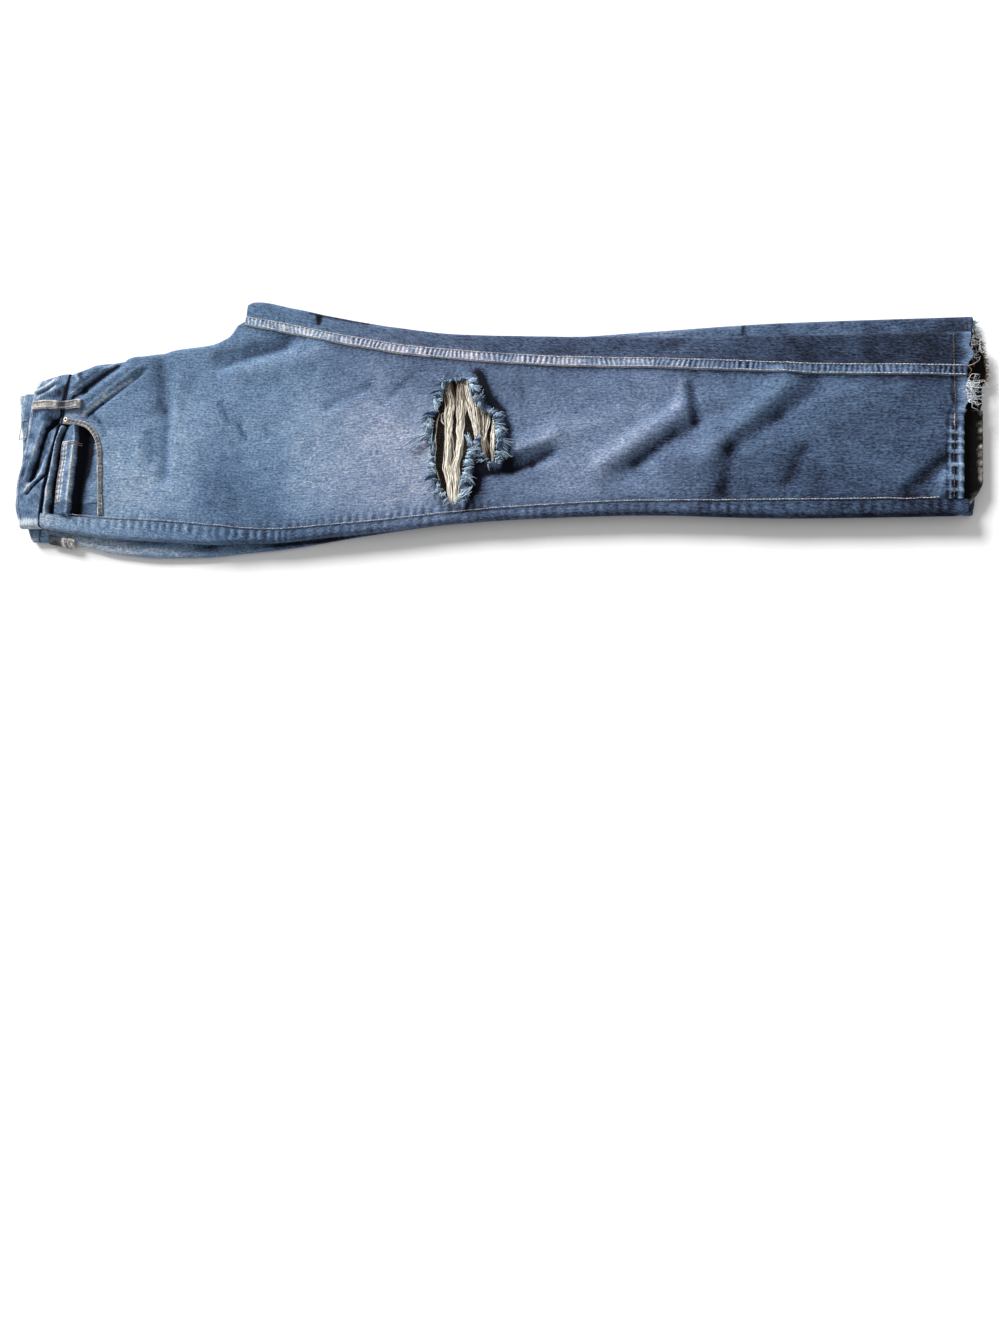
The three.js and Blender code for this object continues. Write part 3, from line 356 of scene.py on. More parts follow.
def cut_away(mesh, whole):
    """Deletes the faces of a mesh that aren't whole at all their corners."""
    edit = bmesh.new()
    edit.from_mesh(mesh)
    gone = [face for face in edit.faces if not all(whole[vert.index] for vert in face.verts)]
    bmesh.ops.delete(edit, geom=gone, context="FACES")
    edit.to_mesh(mesh)
    edit.free()


def cloth(name, steps, lanes, shape, keep=None):
    """A thin shell from a grid. shape(u, v) gives its points in millimetres, their fade and where
    its inner side shows, and keep(points, u, v) says where it is whole. Its UV map is in
    millimetres of cloth."""
    bpy.ops.mesh.primitive_grid_add(x_subdivisions=steps, y_subdivisions=lanes, size=1)
    piece = bpy.context.object
    piece.name = piece.data.name = name
    mesh = piece.data
    co = np.empty(len(mesh.vertices) * 3)
    mesh.vertices.foreach_get("co", co)
    u, v = co.reshape(-1, 3)[:, 0] + 0.5, co.reshape(-1, 3)[:, 1] + 0.5
    points, fade, *inside = shape(u, v)
    order = np.lexsort((np.round(v * lanes), np.round(u * steps)))
    corner = np.empty(len(mesh.loops), int)
    mesh.loops.foreach_get("vertex_index", corner)
    mesh.uv_layers[0].data.foreach_set("uv", laid_flat(points, order, steps, lanes)[corner].ravel())
    mesh.vertices.foreach_set("co", ((points - ORIGIN) / 1000).ravel())
    # Down the thigh the blue turns a little greyer, and less so again towards the hem.
    greyed = smooth(330, 480, points[:, 0]) * (1 - 0.6 * smooth(780, 900, points[:, 0]))
    # The fade attribute holds the cloth's dye fade, and also the painted shade and light that the shapes add.
    mark(mesh, "fade", np.clip(fade, -0.5, 1.1))
    mark(mesh, "greyed", greyed)
    mark(mesh, "inside", inside[0] if inside else np.zeros(len(u)))
    mesh.polygons.foreach_set("use_smooth", np.ones(len(mesh.polygons), bool))
    if keep is not None:
        cut_away(mesh, keep(points, u, v))
    mesh.update()
    return piece


def wire(tree, kind, place, inputs=None, **settings):
    """One shader node, with its settings, and its inputs as values or as links."""
    node = tree.nodes.new(kind)
    node.location = place
    for name, value in settings.items():
        setattr(node, name, value)
    for name, value in (inputs or {}).items():
        if isinstance(value, bpy.types.NodeSocket):
            tree.links.new(value, node.inputs[name])
        else:
            node.inputs[name].default_value = value
    return node


def srgb(*levels):
    """A colour given as 0 to 255, as the shader wants it."""
    return tuple((((c / 255) + 0.055) / 1.055) ** 2.4 for c in levels) + (1.0,)


def surface(name, **values):
    """A new material with the given shader values, its node tree and its shader."""
    material = bpy.data.materials.new(name)
    material.use_nodes = True
    shader = material.node_tree.nodes["Principled BSDF"]
    for label, value in values.items():
        shader.inputs[label.replace("_", " ")].default_value = value
    return material, material.node_tree, shader


def ramp(tree, place, factor, stops):
    node = wire(tree, "ShaderNodeValToRGB", place, {"Fac": factor})
    band = node.color_ramp
    while len(band.elements) < len(stops):
        band.elements.new(0.5)
    for element, (at, colour) in zip(band.elements, stops):
        element.position = at
        element.color = colour
    return node.outputs["Color"]


def maths(tree, place, operation, a, b):
    return wire(tree, "ShaderNodeMath", place, {0: a, 1: b}, operation=operation).outputs[0]


# The inner side of the cloth, where bare weft covers the dyed yarns. Its dark end paints the shade inside
# the flattened leg.
INNER_WEFT = [
    (0.0, srgb(8, 7, 6)),
    (0.15, srgb(45, 46, 44)),
    (0.42, srgb(94, 95, 90)),
    (0.7, srgb(148, 142, 132)),
    (1.0, srgb(206, 198, 184)),
]
# What the blue is multiplied by where it is greyed.
GREYER = (1.17, 1.0, 0.985, 1.0)


def uneven_yarn(tree, fade, grain):
    """How far yarn, slub and twill shift the fade of each place, and the relief that they give."""
    laid = wire(tree, "ShaderNodeUVMap", (-1500, 0), uv_map="UVMap").outputs["UV"]

    def noise(place, stretch, detail):
        at = wire(tree, "ShaderNodeMapping", place, {"Vector": laid, "Scale": (*stretch, 1.0)})
        inputs = {"Vector": at.outputs["Vector"], "Scale": 1.0, "Detail": detail, "Roughness": 0.62}
        return wire(tree, "ShaderNodeTexNoise", (place[0] + 200, place[1]), inputs).outputs["Fac"]

    yarn = noise((-1250, 100), (0.26, 0.56), 1.8)
    slub = noise((-1250, -150), (0.06, 0.5), 1.0)
    pick = noise((-1250, -400), (0.55, 0.08), 1.0)
    cloud = noise((-1250, -650), (0.06, 0.08), 3.0)
    turned = wire(tree, "ShaderNodeMapping", (-1250, -900), {"Vector": laid, "Rotation": (0, 0, 1.05)})
    twist = {"Vector": turned.outputs["Vector"], "Scale": 0.36, "Distortion": 1.2, "Detail": 1.0}
    twill = wire(tree, "ShaderNodeTexWave", (-1050, -900), twist).outputs["Fac"]
    parts = [(yarn, grain), (slub, grain * 0.4), (pick, grain * 0.22), (cloud, 0.16), (twill, 0.06)]
    mottle = 0.0
    for k, (texture, share) in enumerate(parts):
        centred = maths(tree, (-800, 200 - 160 * k), "SUBTRACT", texture, 0.5)
        weighed = maths(tree, (-620, 200 - 160 * k), "MULTIPLY", centred, 2 * share)
        mottle = maths(tree, (-440, 200 - 160 * k), "ADD", mottle, weighed)
    # Dark cloth is even. The more it has faded, the more its yarns differ.
    strength = maths(tree, (-620, 460), "MULTIPLY", fade, 0.95)
    strength = maths(tree, (-440, 460), "ADD", strength, 0.34)
    mottle = maths(tree, (-330, 460), "MULTIPLY", mottle, strength)
    return mottle, maths(tree, (-440, -700), "ADD", twill, yarn)


def denim(name, stops, grain=0.62):
    """Indigo twill: its colour is the fade of each place, broken up by uneven yarn, slub and twill."""
    material, tree, shader = surface(
        name, Roughness=0.95, Specular_IOR_Level=0.05, Sheen_Weight=0.05, Sheen_Roughness=0.6
    )
    fade, inside, greyed = (
        wire(tree, "ShaderNodeAttribute", (-1500, 300 + 160 * k), attribute_name=label).outputs["Fac"]
        for k, label in enumerate(("fade", "inside", "greyed"))
    )
    mottle, relief_height = uneven_yarn(tree, fade, grain)
    factor = maths(tree, (-330, 300), "ADD", fade, mottle)
    sides = wire(tree, "ShaderNodeMix", (0, 500), {"Factor": inside}, data_type="RGBA")
    tree.links.new(ramp(tree, (-220, 200), factor, stops), sides.inputs[6])
    tree.links.new(ramp(tree, (-220, -50), factor, INNER_WEFT), sides.inputs[7])
    mixed = wire(tree, "ShaderNodeMix", (60, 300), {"Factor": greyed}, data_type="RGBA")
    mixed.blend_type = "MULTIPLY"
    tree.links.new(sides.outputs[2], mixed.inputs[6])
    mixed.inputs[7].default_value = GREYER
    bump_inputs = {"Strength": 0.35, "Distance": 0.0006, "Height": relief_height}
    bump = wire(tree, "ShaderNodeBump", (-220, -500), bump_inputs)
    tree.links.new(mixed.outputs[2], shader.inputs["Base Color"])
    tree.links.new(bump.outputs["Normal"], shader.inputs["Normal"])
    return material


FADED_INDIGO = [
    (0.0, srgb(9, 14, 25)),
    (0.15, srgb(46, 60, 83)),
    (0.42, srgb(86, 111, 140)),
    (0.7, srgb(128, 149, 173)),
    (1.0, srgb(196, 202, 208)),
]
blue_denim = denim("faded_denim", FADED_INDIGO)


def seat(piece, material):
    """Gives a piece its material and its body."""
    piece.data.materials.clear()
    piece.data.materials.append(material)
    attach(piece, "root")
    return piece


# The rip is two holes that run together, each as sections (y, left, right) across the leg.
RIP_MAIN = [
    (143, 538, 569),
    (121, 534, 574),
    (101, 525, 583),
    (80, 524, 577),
    (62, 529, 572),
    (44, 529, 569),
    (28, 533, 567),
    (12, 543, 565),
    (2, 550, 561),
]
RIP_SIDE = [(106, 570, 588), (99, 570, 598), (80, 572, 603), (60, 583, 605), (47, 593, 603)]
# Beyond this zone the cloth is whole.
RIP_ZONE = (495, 640, -20, 175)
POCKET_MOUTH = {
    "step": [0, 1, 2, 3, 4, 5, 6],
    "x": [30, 62, 82, 97, 105, 109, 117],
    "y": [107, 105.5, 102, 90, 70, 40, -30],
}


def ring(sections):
    left = [(a, y) for y, a, b in sections]
    right = [(b, y) for y, a, b in sections]
    return np.array(left + right[::-1], float)


def depth_in(outline, x, y):
    """Distance inside a closed outline, negative outside, and the nearest point on its edge."""
    start, end = outline, np.roll(outline, -1, axis=0)
    p = np.stack([x, y], -1)[:, None, :]
    d = end - start
    t = np.clip(((p - start) * d).sum(-1) / (d * d).sum(-1), 0, 1)
    foot = start + t[..., None] * d
    away = np.linalg.norm(p - foot, axis=-1)
    best = away.argmin(1)
    rows = np.arange(len(x))
    spans = (start[:, 1] > p[..., 1]) != (end[:, 1] > p[..., 1])
    rise = np.where(np.abs(d[:, 1]) < 1e-9, 1e-9, d[:, 1])
    crossing = start[:, 0] + (p[..., 1] - start[:, 1]) * d[:, 0] / rise
    inside = (spans & (p[..., 0] < crossing)).sum(1) % 2 == 1
    return np.where(inside, away[rows, best], -away[rows, best]), foot[rows, best]


mouth_steps = np.linspace(0, 6, 90)
MOUTH = np.stack([curve(POCKET_MOUTH, axis, mouth_steps, "step") for axis in ("x", "y")], -1)
SCOOP = np.concatenate([MOUTH, [[-60, -30], [-60, 107]]])


def rip_depth(x, y):
    """Distance into the torn hole, with its ragged edge."""
    depth = np.full(x.shape, -99.0)
    x0, x1, y0, y1 = RIP_ZONE
    near = (x > x0) & (x < x1) & (y > y0) & (y < y1)
    xn, yn = x[near], y[near]
    main, side = depth_in(ring(RIP_MAIN), xn, yn)[0], depth_in(ring(RIP_SIDE), xn, yn)[0]
    ragged = 1.1 * ripple(xn, yn, 3.1, 21) + 0.8 * ripple(xn, yn, 7, 22)
    depth[near] = np.maximum(main, side) + ragged
    return depth


def hem_x(y):
    """The front hem's edge: turned up and roped below, torn open and ragged above."""
    torn = smooth(*HEM_TORN, y)
    ragged = 1.4 * ripple(y, 0 * y, 4.5, 31) + 1.2 * ripple(y, 0 * y, 13, 32)
    return FRONT_HEM_X - 5 * (1 - torn) + torn * ragged + TORN_LONGER * smooth(*HEM_LONGER, y)


def turned_up(past):
    """How far on and how far down a hem goes round its fold, past being the cloth beyond the fold."""
    angle = np.minimum(past / HEM_ROUND, np.pi)
    on = HEM_ROUND * np.sin(angle) - np.maximum(past - np.pi * HEM_ROUND, 0)
    return on, HEM_ROUND * (1 - np.cos(angle))


def front_lie(station, v):
    """Where the front lies, from the outseam, v = 0, to the inseam. Above the crotch it curls down there."""
    outseam = curve(RIGHT_HALF, "outseam", station) + SEAM_GAP
    edge = curve(RIGHT_HALF, "inseam", station) - SEAM_GAP
    curl = 1 - smooth(CROTCH_X - 22, CROTCH_X, station)
    turn_y = edge - FRONT_CURL
    turn_z = top_cloth(station + slide(station, curve(WAIST_LINES, "front_seam", turn_y, "y")), turn_y)
    turn = np.arccos(np.clip(1 - (turn_z - LEG_BOTTOM - 0.3) / FRONT_CURL, -1, 1))
    length = FRONT_CURL * (1 + (turn - 1) * curl)
    over = np.clip((v - FLAT_SHARE) / (1 - FLAT_SHARE), 0, 1) * length
    curled_y = turn_y + over * (1 - curl) + FRONT_CURL * np.sin(over / FRONT_CURL) * curl
    y = np.where(v < FLAT_SHARE, outseam + (turn_y - outseam) * v / FLAT_SHARE, curled_y)
    x = station + slide(station, curve(WAIST_LINES, "front_seam", y, "y"))
    flat_z = top_cloth(x, y)
    dropped = turn_z - FRONT_CURL * (1 - np.cos(curl * over / FRONT_CURL))
    return x, y, np.where(v < FLAT_SHARE, flat_z, flat_z * (1 - curl) + dropped * curl)


def front_seams(station, y):
    """Rise and fade beside the outseam and the inseam's fell, which draw the cloth up."""
    outseam = curve(RIGHT_HALF, "outseam", station) + SEAM_GAP
    edge = curve(RIGHT_HALF, "inseam", station) - SEAM_GAP
    hard = smooth(320, 350, station) * (1 - smooth(560, 620, station))
    drawn = ridge(y - outseam, 5, 5.0) * (0.25 + 0.75 * hard)
    wave = pucker(station, 9.5, 41)
    fell = ridge(y - edge, -9, 4.5) * smooth(CROTCH_X, 320, station)
    rise = 0.8 * drawn * wave + 0.35 * fell * pucker(station, 7, 44)
    return rise, 0.16 * drawn * wave - 0.06 * ridge(y, outseam, 6.0) - 0.05 * fell


def front_hem(station, y):
    """Rise and fade of the turned-up hem: proud as far as its stitching, and roped where it is whole."""
    whole = 1 - smooth(*HEM_TORN, y)
    rope = np.sin(2 * np.pi * (y + 0.12 * (station - 1072)) / 11.8 + 1.6 * ripple(y, 0 * y, 17, 47))
    rise = smooth(1067, 1073, station) * whole * (1.0 + 0.8 * rope)
    bars = smooth(0.1, 0.9, rope)
    rails = ridge(station, HEM_RAILS[0], 1.6) + ridge(station, HEM_RAILS[1], 2.2)
    ladder = smooth(84, 74, y) * smooth(1069, 1072, station)
    fade = ladder * (0.32 * np.maximum(rails, 0.9 * bars) - 0.24 * (1 - bars) * (1 - rails))
    fade = fade + 0.14 * whole * smooth(1080, 1083, station)
    fade = fade + 0.34 * (1 - whole) * smooth(1073, 1083, station)
    return rise, fade - 0.16 * ridge(station, 1070.5, 1.8)


def torn_edge(x, y):
    """Rise and fade of the cloth beside the rip, and how far it curls back, where it stands up, on the
    shin side. A painted shadow darkens the cloth beyond that raised edge."""
    torn = rip_depth(x, y)
    near = torn > -60
    stands = smooth(562, 574, x) * near
    outside = np.minimum(torn, 0)
    lift = np.exp(outside / (5.0 + 1.5 * stands)) * near
    rise = (1.8 + 5.6 * stands) * lift * (0.8 + 0.4 * ripple(x, y, 11, 51))
    # Its second term is the painted shadow cast by the raised shin-side edge.
    fade = 0.2 * np.exp(outside / 2.2) * near - 0.4 * stands * ridge(torn, -10.5, 4.5)
    return rise, fade, 3.0 * stands * np.exp(outside / 3.5)


def onto_mouth(x, y, z):
    """Moves the points beside the pocket mouth onto it, so that the cut runs smoothly."""
    beside = (x < 135) & (y < 125)
    deep, foot = depth_in(SCOOP, x[beside], y[beside])
    snap = (np.abs(deep) < 1.3) & (foot[:, 0] > -50)
    move = np.where(beside)[0][snap]
    x[move], y[move] = foot[snap, 0], foot[snap, 1]
    z[move] = top_cloth(x[move], y[move])


def front_shape(u, v):
    run = WAIST_X + u * (FRONT_HEM_X + TURN_UP - WAIST_X)
    station = np.minimum(run, FRONT_HEM_X)
    past = np.maximum(run - FRONT_HEM_X, 0)
    x, y, z = front_lie(station, v)
    seam_rise, seam_fade = front_seams(station, y)
    hem_rise, hem_fade = front_hem(station, y)
    torn_rise, torn_fade, curled_back = torn_edge(x, y)
    fade = fade_and_shade(x, y) + seam_fade + hem_fade + torn_fade
    z = z + seam_rise + hem_rise + torn_rise
    x = x + curled_back + smooth(HEM_DRAWN_FROM, FRONT_HEM_X, station) * (hem_x(y) - FRONT_HEM_X)
    on, down = turned_up(past)
    x = x + on
    z = z - down + np.where(past > 0, top_cloth(x, y) - top_cloth(station, y), 0)
    onto_mouth(x, y, z)
    return np.stack([x, y, z], -1), fade


def front_keep(points, u, v):
    x, y = points[:, 0], points[:, 1]
    in_pocket = depth_in(SCOOP, x, y)[0] > 0.05
    in_rip = rip_depth(x, y) > 0
    past = WAIST_X + u * (FRONT_HEM_X + TURN_UP - WAIST_X) > FRONT_HEM_X + 0.5
    return ~in_pocket & ~in_rip & ~(past & (y > 96))


right_front = seat(cloth("right_front_cloth", 600, 148, front_shape, front_keep), blue_denim)
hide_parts("right_front", "right_front_rise_edge")

# THE POCKET
# Inside the scooped mouth is the facing, pushed up into a ridge with a deep hollow beside it. A coin
# pocket is sewn on it. The mouth's edge is rolled and stitched, and a rivet holds its end.

# Where the facing's ridges and hollows cross each section, and their heights against the front.
POCKET_LINES = {
    "y": [-16, 18, 45, 65, 81, 95, 108],
    "seam": [35, 36, 39, 40.5, 43, 45, 46],
    "rim": [42, 42, 45, 47, 47.5, 51, 59],
    "groove": [48, 49, 50.5, 51, 52, 55, 63],
    "hem": [56, 56, 57, 58, 58, 61, 67],
    "crest": [74.5, 75.5, 76, 76.5, 76.5, 75, 72],
    "drop": [77.5, 78.5, 79, 79.5, 79.5, 79, 75],
    "floor": [82, 83, 85, 86, 86, 86, 79],
    "rise": [86, 88, 93, 96, 96, 94, 83],
    "mouth": [127, 123, 121, 119, 115, 108, 96],
}
POCKET_HEIGHTS = {
    "seam": -1.6,
    "rim": 2.0,
    "groove": -6.0,
    "hem": 1.0,
    "crest": 6.0,
    "drop": -3.0,
    "floor": -9.0,
    "rise": -6.5,
    "mouth": -3.0,
}
FACING_LOW, FACING_WIDTH = -14.0, 117.0
POCKET_SHARES = [0, 0.08, 0.17, 0.25, 0.5, 0.57, 0.67, 0.8, 1.0]


def facing_place(u, y):
    """Place on the facing: u runs from the waistband's seam to under the front."""
    names = list(POCKET_HEIGHTS)
    knots = np.array([curve(POCKET_LINES, name, y, "y") for name in names])
    heights = np.array([POCKET_HEIGHTS[name] for name in names])
    k = np.clip(np.searchsorted(POCKET_SHARES, u, "right") - 1, 0, len(names) - 2)
    shares = np.array(POCKET_SHARES)
    t = (u - shares[k]) / (shares[k + 1] - shares[k])
    each = np.arange(len(u))
    x = knots[k, each] + t * (knots[k + 1, each] - knots[k, each])
    high = heights[k] + smooth(0, 1, t) * (heights[k + 1] - heights[k])
    flat = smooth(-15, -6, y)
    high = high * flat - 3.0 * (1 - flat)
    return x, top_form(x, y) + high + 0.5 * ripple(x, y, 13, 71) + 0.25 * ripple(x, y, 6, 72)


def facing_shape(u, v):
    y = FACING_LOW + v * FACING_WIDTH
    x, z = facing_place(u, y)
    crests = ridge(u, 0.49, 0.03) + 1.5 * ridge(u, 0.085, 0.055)
    # Painted shade darkens the deep hollow and the groove beside the rim.
    hollow_shade = smooth(0.53, 0.57, u) * smooth(0.83, 0.74, u) + ridge(u, 0.175, 0.04)
    streaks = 0.2 * ripple(x, 0.4 * y, 4, 79) * smooth(0.2, 0.15, u)
    fade = 0.28 + 0.34 * crests - 0.9 * hollow_shade + 0.12 * ripple(x, y, 11, 73) + streaks
    fade = fade - 0.7 * ridge(u, 0, 0.03)
    return np.stack([x, y, z], -1), fade


facing = seat(cloth("pocket_facing_cloth", 110, 90, facing_shape), blue_denim)
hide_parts("pocket_facing")

# The coin pocket's start and depth are shares of the facing, as POCKET_SHARES are.
COIN_START, COIN_DEEP = 0.24, 0.72
COIN_LOW, COIN_WIDTH, COIN_LENGTH = 6.0, 77.0, 70.0


def coin_shape(u, v):
    share = COIN_START + u * COIN_DEEP
    y = COIN_LOW + v * COIN_WIDTH
    x, z = facing_place(share, y)
    edge = np.minimum(np.minimum(u * COIN_LENGTH, (1 - v) * COIN_WIDTH), v * COIN_WIDTH)
    z = z + 1.7 * smooth(-0.01, 1.6, edge) - 0.5
    hem = smooth(0.2, 0.165, u)
    fade = 0.46 + 0.6 * ridge(share, 0.5, 0.03) + 0.16 * ripple(x, y, 7, 75)
    # Painted shade darkens the coin pocket where it runs down into the facing's deep hollow.
    fade = fade - 0.9 * smooth(0.53, 0.57, share) * smooth(0.84, 0.74, share)
    fade = fade + 0.38 * hem * (1 + 0.6 * pucker(y, 6, 74)) + 0.15 * smooth(2, 0, edge) * (share < 0.55)
    return np.stack([x, y, z + 0.7 * hem], -1), fade


coin = seat(cloth("coin_pocket_cloth", 100, 90, coin_shape), blue_denim)
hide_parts("coin_pocket")

# Sewn thread: each stitch is a short thick bow that dips into the cloth at both its ends.


def unit(ways):
    """Directions, each made one long."""
    return ways / (np.linalg.norm(ways, axis=-1, keepdims=True) + 1e-9)


def tubes(name, lines, radii, tones, sides=5):
    """Many round strands as one mesh, from their middle lines in millimetres, (strand, point, 3)."""
    lines = np.asarray(lines, float)
    count, points = lines.shape[:2]
    ahead = unit(np.gradient(lines, axis=1))
    beside = unit(np.cross(ahead, np.array([0.05, 0.03, 1.0])))
    over = np.cross(beside, ahead)
    turn = np.arange(sides) * 2 * np.pi / sides
    round_it = np.cos(turn)[:, None] * beside[:, :, None, :] + np.sin(turn)[:, None] * over[:, :, None, :]
    places = lines[:, :, None, :] + np.broadcast_to(radii, (count, points))[:, :, None, None] * round_it
    index = np.arange(count * points * sides).reshape(count, points, sides)
    turned = np.roll(index, -1, axis=2)
    quads = np.stack([index[:, :-1], turned[:, :-1], turned[:, 1:], index[:, 1:]], -1).reshape(-1, 4)
    ends = np.concatenate([index[:, 0, ::-1], index[:, -1]])
    mesh = bpy.data.meshes.new(name)
    mesh.from_pydata(((places - ORIGIN) / 1000).reshape(-1, 3), [], [*quads.tolist(), *ends.tolist()])
    tones = np.asarray(tones, float).reshape(count, -1)
    fade = np.repeat(np.broadcast_to(tones, (count, points)).ravel(), sides)
    mark(mesh, "fade", fade)
    mesh.polygons.foreach_set("use_smooth", np.ones(len(mesh.polygons), bool))
    piece = bpy.data.objects.new(name, mesh)
    bpy.context.scene.collection.objects.link(piece)
    return piece


def part_way(points, at):
    """Places along a list of points, at being a point's number and a share of the way to the next."""
    steps = np.arange(len(points))
    return np.stack([np.interp(at, steps, points[:, k]) for k in range(points.shape[1])], -1)


def even_points(path, gap):
    """Points a fixed distance apart along a path."""
    path = np.asarray(path, float)
    run = np.concatenate([[0], np.cumsum(np.linalg.norm(np.diff(path, axis=0), axis=1))])
    at = np.arange(0, run[-1], gap)
    return np.stack([np.interp(at, run, path[:, k]) for k in range(path.shape[1])], -1)


def stitch_rows(name, paths, material, pitch=3.2, thick=0.42, seed=1):
    """Rows of stitches along paths that lie on the cloth."""
    chance = np.random.default_rng(seed)
    lines = []
    for path in paths:
        spots = even_points(path, pitch)
        starts, ends = spots[:-1], spots[1:]
        t = np.linspace(0.06, 0.94, 5)
        line = starts[:, None] + (ends - starts)[:, None] * t[None, :, None]
        line[:, :, 2] += 0.45 * np.sin(np.pi * t) + 0.05
        line[:, :, :2] += chance.normal(0, 0.12, (len(line), 1, 2))
        lines.append(line)
    lines = np.concatenate(lines)
    bow = thick * np.array([0.6, 1.0, 1.0, 1.0, 0.6])
    return seat(tubes(name, lines, bow, chance.uniform(0.2, 1.0, len(lines))), material)


def thread(name, dark, light):
    """Cotton thread or yarn, each strand with its own tone and a fine twist."""
    material, tree, shader = surface(name, Roughness=0.9, Specular_IOR_Level=0.15)
    fade = wire(tree, "ShaderNodeAttribute", (-900, 200), attribute_name="fade").outputs["Fac"]
    at = wire(tree, "ShaderNodeTexCoord", (-1100, -100)).outputs["Object"]
    mottle = wire(tree, "ShaderNodeTexNoise", (-900, -100), {"Vector": at, "Scale": 900.0, "Detail": 2.0})
    shift = maths(tree, (-650, -100), "MULTIPLY", mottle.outputs["Fac"], 0.5)
    shift = maths(tree, (-480, 0), "ADD", fade, shift)
    shift = maths(tree, (-310, 0), "SUBTRACT", shift, 0.25)
    colour = ramp(tree, (-140, 200), shift, [(0.0, dark), (1.0, light)])
    bump_inputs = {"Strength": 0.4, "Distance": 0.0003, "Height": mottle.outputs["Fac"]}
    bump = wire(tree, "ShaderNodeBump", (-300, -300), bump_inputs)
    tree.links.new(colour, shader.inputs["Base Color"])
    tree.links.new(bump.outputs["Normal"], shader.inputs["Normal"])
    return material


cream_thread = thread("cream_thread", srgb(112, 110, 114), srgb(206, 204, 206))
rose_thread = thread("rose_thread", srgb(112, 84, 80), srgb(196, 168, 156))


def on_top(xy, lift):
    """Points across the uppermost cloth, raised."""
    xy = np.asarray(xy, float)
    return np.column_stack([xy, top_cloth(xy[:, 0], xy[:, 1]) + lift])


# The mouth's rolled edge.
mouth_run = even_points(MOUTH[(MOUTH[:, 0] > 54) & (MOUTH[:, 1] > -11)], 1.0)
mouth_ahead = unit(np.gradient(mouth_run, axis=0))
mouth_out = np.stack([-mouth_ahead[:, 1], mouth_ahead[:, 0]], -1)


def edge_shape(u, v):
    at = u * (len(mouth_run) - 1)
    base, out = part_way(mouth_run, at), part_way(mouth_out, at)
    turn = 2 * np.pi * v
    wide = 3.6 * (0.9 + 0.12 * ripple(at, 0 * at, 9, 76))
    place = base + out * (3.0 - wide * np.cos(turn))[:, None]
    high = 1.5 * np.sin(turn) * (1 + 0.25 * pucker(at, 5, 77))
    z = top_cloth(place[:, 0], place[:, 1]) + 0.7 + high
    fade = 0.34 + 0.9 * ridge(v, 0.1, 0.075) + 0.42 * ridge(v, 0.42, 0.05)
    fade = fade + 0.12 * pucker(at, 5, 77) + 0.14 * ripple(at, 9 * v, 5, 78)
    return np.column_stack([place, z]), fade


WORN_INDIGO = [
    (0.0, srgb(40, 44, 52)),
    (0.35, srgb(96, 100, 108)),
    (0.7, srgb(158, 154, 150)),
    (1.0, srgb(216, 212, 208)),
]
worn_denim = denim("worn_edge_denim", WORN_INDIGO)
mouth_edge = seat(cloth("pocket_mouth_edge", 150, 18, edge_shape), worn_denim)

mouth_row = on_top(mouth_run + mouth_out * 1.2, 2.2)
stitch_rows("pocket_mouth_stitches", [mouth_row], cream_thread, seed=2)
coin_rows = []
for share in (0.262, 0.325):
    y = np.linspace(8, 81, 60)
    x, z = facing_place(np.full(60, share), y)
    coin_rows.append(np.column_stack([x, y, z + 2.1]))
share = np.linspace(0.25, 0.62, 60)
for y in (80.5, 78.3):
    x, z = facing_place(share, np.full(60, y))
    coin_rows.append(np.column_stack([x, np.full(60, y), z + 1.5]))
stitch_rows("coin_pocket_stitches", coin_rows, rose_thread, seed=3)

# The rivet is a domed copper cap with a dark sunk middle.
RIVET_AT = (58.0, 110.5)
RIVET_RADIUS = 3.8
RIVET_PROFILE = {"r": [0, 0.22, 0.34, 0.62, 0.9, 1.0], "z": [0.9, 0.9, 1.9, 2.0, 1.2, 0.0]}


def rivet_shape(u, v):
    turn, reach = 2 * np.pi * u, v
    high = np.interp(reach, RIVET_PROFILE["r"], RIVET_PROFILE["z"])
    x = RIVET_AT[0] + RIVET_RADIUS * reach * np.cos(turn)
    y = RIVET_AT[1] + RIVET_RADIUS * reach * np.sin(turn)
    base = top_form(RIVET_AT[0], RIVET_AT[1]) + 0.6
    return np.stack([x, y, base + high], -1), smooth(0.24, 0.4, reach) * (0.85 + 0.2 * np.sin(3 * turn))


copper, copper_tree, copper_shader = surface("worn_copper", Metallic=0.75, Roughness=0.42)
copper_fade = wire(copper_tree, "ShaderNodeAttribute", (-700, 200), attribute_name="fade").outputs["Fac"]
copper_at = wire(copper_tree, "ShaderNodeTexCoord", (-900, -100)).outputs["Object"]
copper_noise = wire(copper_tree, "ShaderNodeTexNoise", (-700, -100), {"Vector": copper_at, "Scale": 1200.0})
copper_mix = maths(copper_tree, (-480, 100), "MULTIPLY", copper_noise.outputs["Fac"], 1.5)
copper_mix = maths(copper_tree, (-320, 100), "MULTIPLY", copper_mix, copper_fade)
COPPER = [(0.0, srgb(40, 26, 22)), (0.5, srgb(190, 158, 140)), (1.0, srgb(246, 232, 220))]
copper_colour = ramp(copper_tree, (-150, 200), copper_mix, COPPER)
copper_tree.links.new(copper_colour, copper_shader.inputs["Base Color"])
rivet = seat(cloth("rivet_cap", 28, 14, rivet_shape), copper)
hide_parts("rivet_front")

# THE RIGHT BACK
# The other panel of the leg: it comes over the inseam-side fold, lies underneath, comes round the
# outseam-side fold and ends at the outseam. Inside the open hem its turned-up edge shows.

